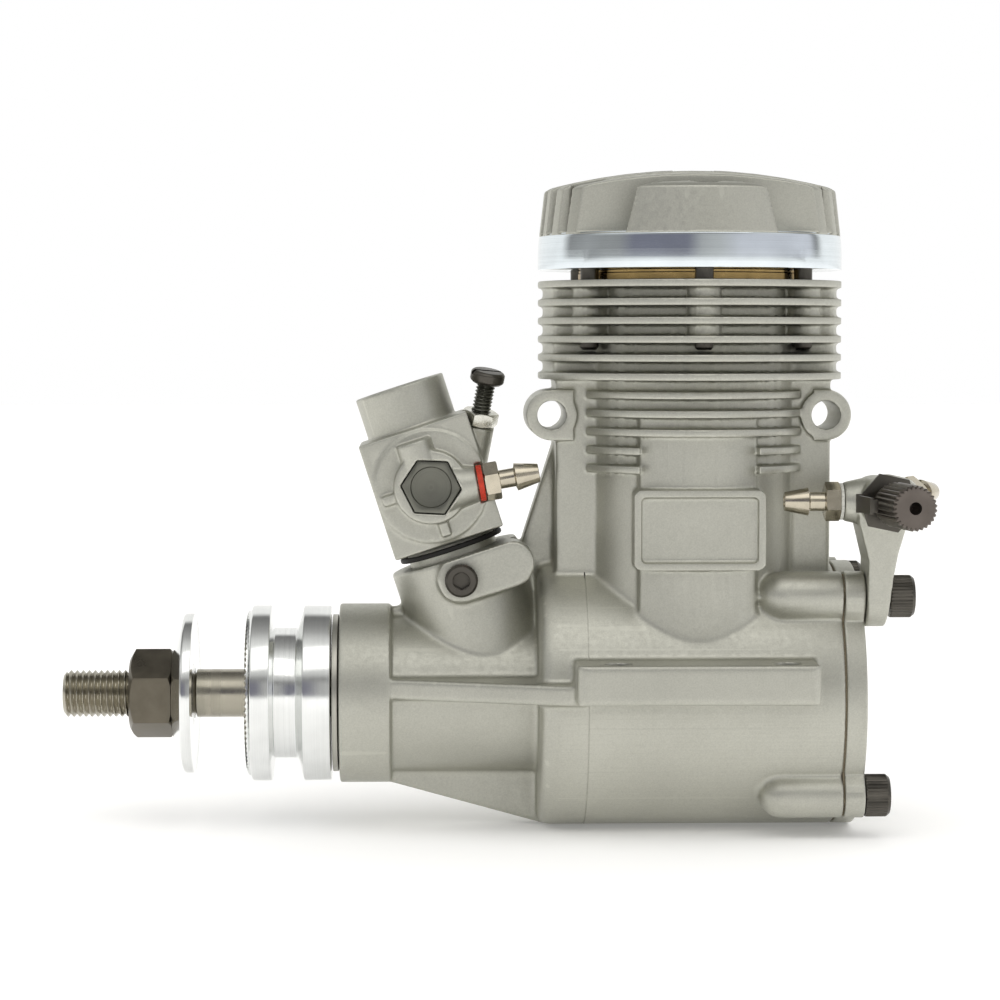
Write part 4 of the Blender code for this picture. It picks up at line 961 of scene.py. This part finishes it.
def glow_plug():
    plug = lathe("glow_plug_body", [
        (84.9, 0), (84.9, 1.3), (82.6, 1.3), (82.4, 0.9), (81.7, 0.9), (81.5, 2.2), (80.6, 2.6), (80.6, 3.9),
        (80.1, 4.4), (77.6, 4.4), (77.5, 2.95), (70.2, 2.95), (69.8, 2.5), (69.8, 0)], ENGINE, 0.15, 72)
    hexa = hexagon("hexa", 8.0, 77.6, 80.4, ENGINE)
    combine(plug, adds=[hexa])
    bevel(plug, 0.1)
    return finish(plug, ZINC, "block", "glow_plug", slot="steel")


CARRIED_OVER = {
    "piston": BRIGHT, "connecting_rod": BRIGHT, "cylinder_liner": BRASS, "head_gasket": BRASS,
    "small_end_bush": BRASS, "big_end_bush": BRASS, "taper_collet": BRASS, "glow_plug_washer": BRASS,
    "needle_seat_bush": BRASS, "crank_pin": STEEL, "wrist_pin": STEEL, "rear_bearing_outer_race": STEEL,
    "rear_bearing_inner_race": STEEL, "rear_bearing_balls": STEEL, "front_bearing_outer_race": STEEL,
    "front_bearing_inner_race": STEEL, "front_bearing_balls": STEEL, "front_pin_retainer": POLYMER,
    "rear_pin_retainer": POLYMER, "backplate_gasket": PAPER,
}


def repaint_frame():
    """Inner nodes keep their CAD shape and take a detailed material."""
    for node, look in CARRIED_OVER.items():
        for item in frame["nodes"][node].material_slots:
            item.material = look


# ---------------------------------------------------------------- studio

def studio_light():
    """A white cove behind and above, and a darker room with pale walls in front."""
    world = bpy.data.worlds.new("studio")
    bpy.context.scene.world = world
    world.use_nodes = True
    nodes = world.node_tree.nodes
    links = world.node_tree.links
    place = nodes.new("ShaderNodeTexCoord")
    axes = nodes.new("ShaderNodeSeparateXYZ")
    links.new(place.outputs["Generated"], axes.inputs[0])

    def calculate(operation, one, two):
        node = nodes.new("ShaderNodeMath")
        node.operation = operation
        for socket, value in zip(node.inputs, (one, two)):
            if isinstance(value, bpy.types.NodeSocket):
                links.new(value, socket)
            else:
                socket.default_value = value
        return node.outputs[0]

    def levels(value, low, high, stops):
        span = nodes.new("ShaderNodeMapRange")
        span.inputs[1].default_value = low
        span.inputs[2].default_value = high
        links.new(value, span.inputs[0])
        ramp = nodes.new("ShaderNodeValToRGB")
        links.new(span.outputs[0], ramp.inputs[0])
        while len(ramp.color_ramp.elements) < len(stops):
            ramp.color_ramp.elements.new(0.5)
        for element, (at, level, *blue) in zip(ramp.color_ramp.elements, stops):
            element.position = (at - low) / (high - low)
            element.color = (level, level, level * (blue[0] if blue else 0.98), 1)
        return ramp.outputs[0]

    def mixed(factor, one, two):
        mix = nodes.new("ShaderNodeMixRGB")
        for socket, value in zip(mix.inputs, (factor, one, two)):
            if isinstance(value, bpy.types.NodeSocket):
                links.new(value, socket)
            else:
                socket.default_value = value
        return mix.outputs[0]

    front = calculate("MULTIPLY", axes.outputs["Y"], -1)
    over = calculate("MULTIPLY", calculate("ARCTAN2", axes.outputs["Z"], front), 180 / math.pi)
    round_about = calculate("MULTIPLY", calculate("ARCTAN2", axes.outputs["X"], front), 180 / math.pi)
    cove = levels(over, -180, 180, (
        (-180, 0.95), (-110, 0.5), (-70, 0.65), (-12, 0.88), (3, 0.85), (9, 0.28), (25, 0.26), (31, 0.6),
        (47, 0.8),
        (68, 0.92), (80, 0.7), (94, 0.38), (108, 0.26), (126, 0.17), (136, 0.95), (180, 0.98)))
    room = levels(round_about, -180, 180, (
        (-118, 0.97), (-108, 0.28), (-88, 0.36), (-60, 0.31), (-48, 0.2, 1.2), (-6, 0.2, 1.2), (4, 0.42),
        (18, 0.5), (34, 0.62, 1.05), (98, 0.66, 1.05), (106, 0.24), (114, 0.97)))
    low_part = levels(axes.outputs["Z"], -1, 1, ((0.02, 0.0), (0.05, 1.0), (0.30, 1.0), (0.42, 0.0)))
    rays = nodes.new("ShaderNodeLightPath")
    seen = mixed(rays.outputs["Is Camera Ray"], mixed(low_part, cove, room), (1, 1, 1, 1))
    background = nodes["Background"]
    links.new(seen, background.inputs["Color"])
    background.inputs["Strength"].default_value = 1.0


def area_light(name, place, aim, size, power, warmth=1.0):
    light = bpy.data.lights.new(name, "AREA")
    light.shape = "RECTANGLE"
    light.size, light.size_y = size
    light.energy = power
    light.color = (1, 0.98 * warmth, 0.95 * warmth)
    lamp = bpy.data.objects.new(name, light)
    bpy.context.scene.collection.objects.link(lamp)
    lamp.location = place
    lamp.rotation_euler = (Vector(aim) - Vector(place)).to_track_quat("-Z", "Y").to_euler()
    return lamp


def floor():
    form = bmesh.new()
    bmesh.ops.create_grid(form, x_segments=1, y_segments=1, size=3000)
    sheet = make("floor", form, ENGINE @ shift(0, 0, -22.02))
    look = Look("white_sweep", (0.9, 0.9, 0.9), 0.0, 0.7, 0.0)
    look.set("Emission Color", (1, 1, 1, 1))
    look.set("Emission Strength", 0.15)
    look.rough(look.noise(20, 2), 0.5, 0.7)
    sheet.data.materials.append(look.material)
    lit = bpy.data.collections.new("floor_only")
    lit.objects.link(sheet)
    above = area_light("floor_light", (0, 0, 2.0), (0, 0, 0), (8, 8), 120)
    above.light_linking.receiver_collection = lit


def camera():
    lens = bpy.data.cameras.new("camera")
    lens.lens = 104.4
    lens.sensor_width = 36
    lens.clip_start = 0.01
    eye = bpy.data.objects.new("camera", lens)
    bpy.context.scene.collection.objects.link(eye)
    eye.location = ENGINE @ Vector((-0.0458, -0.483, 0.0595))
    aim = ENGINE @ Vector((-0.0315, 0, 0.0322))
    eye.rotation_euler = (aim - eye.location).to_track_quat("-Z", "Y").to_euler()
    bpy.context.scene.camera = eye


def build():
    crankcase()
    backplate()
    head_casting()
    head_rim()
    carburettor_body()
    needle_bracket()
    crankshaft()
    drive_hub()
    drive_washers()
    propeller_nut()
    screws()
    idle_stop()
    fittings()
    inlet_plug()
    neck_gasket()
    needle_knob()
    ratchet_spring()
    throttle()
    glow_plug()
    repaint_frame()
    studio_light()
    area_light("softbox", (0.05, -0.5, 0.7), (-0.05, 0, 0.03), (0.9, 0.5), 1.0)
    floor()
    camera()
    bpy.context.scene.view_settings.view_transform = "Standard"


build()
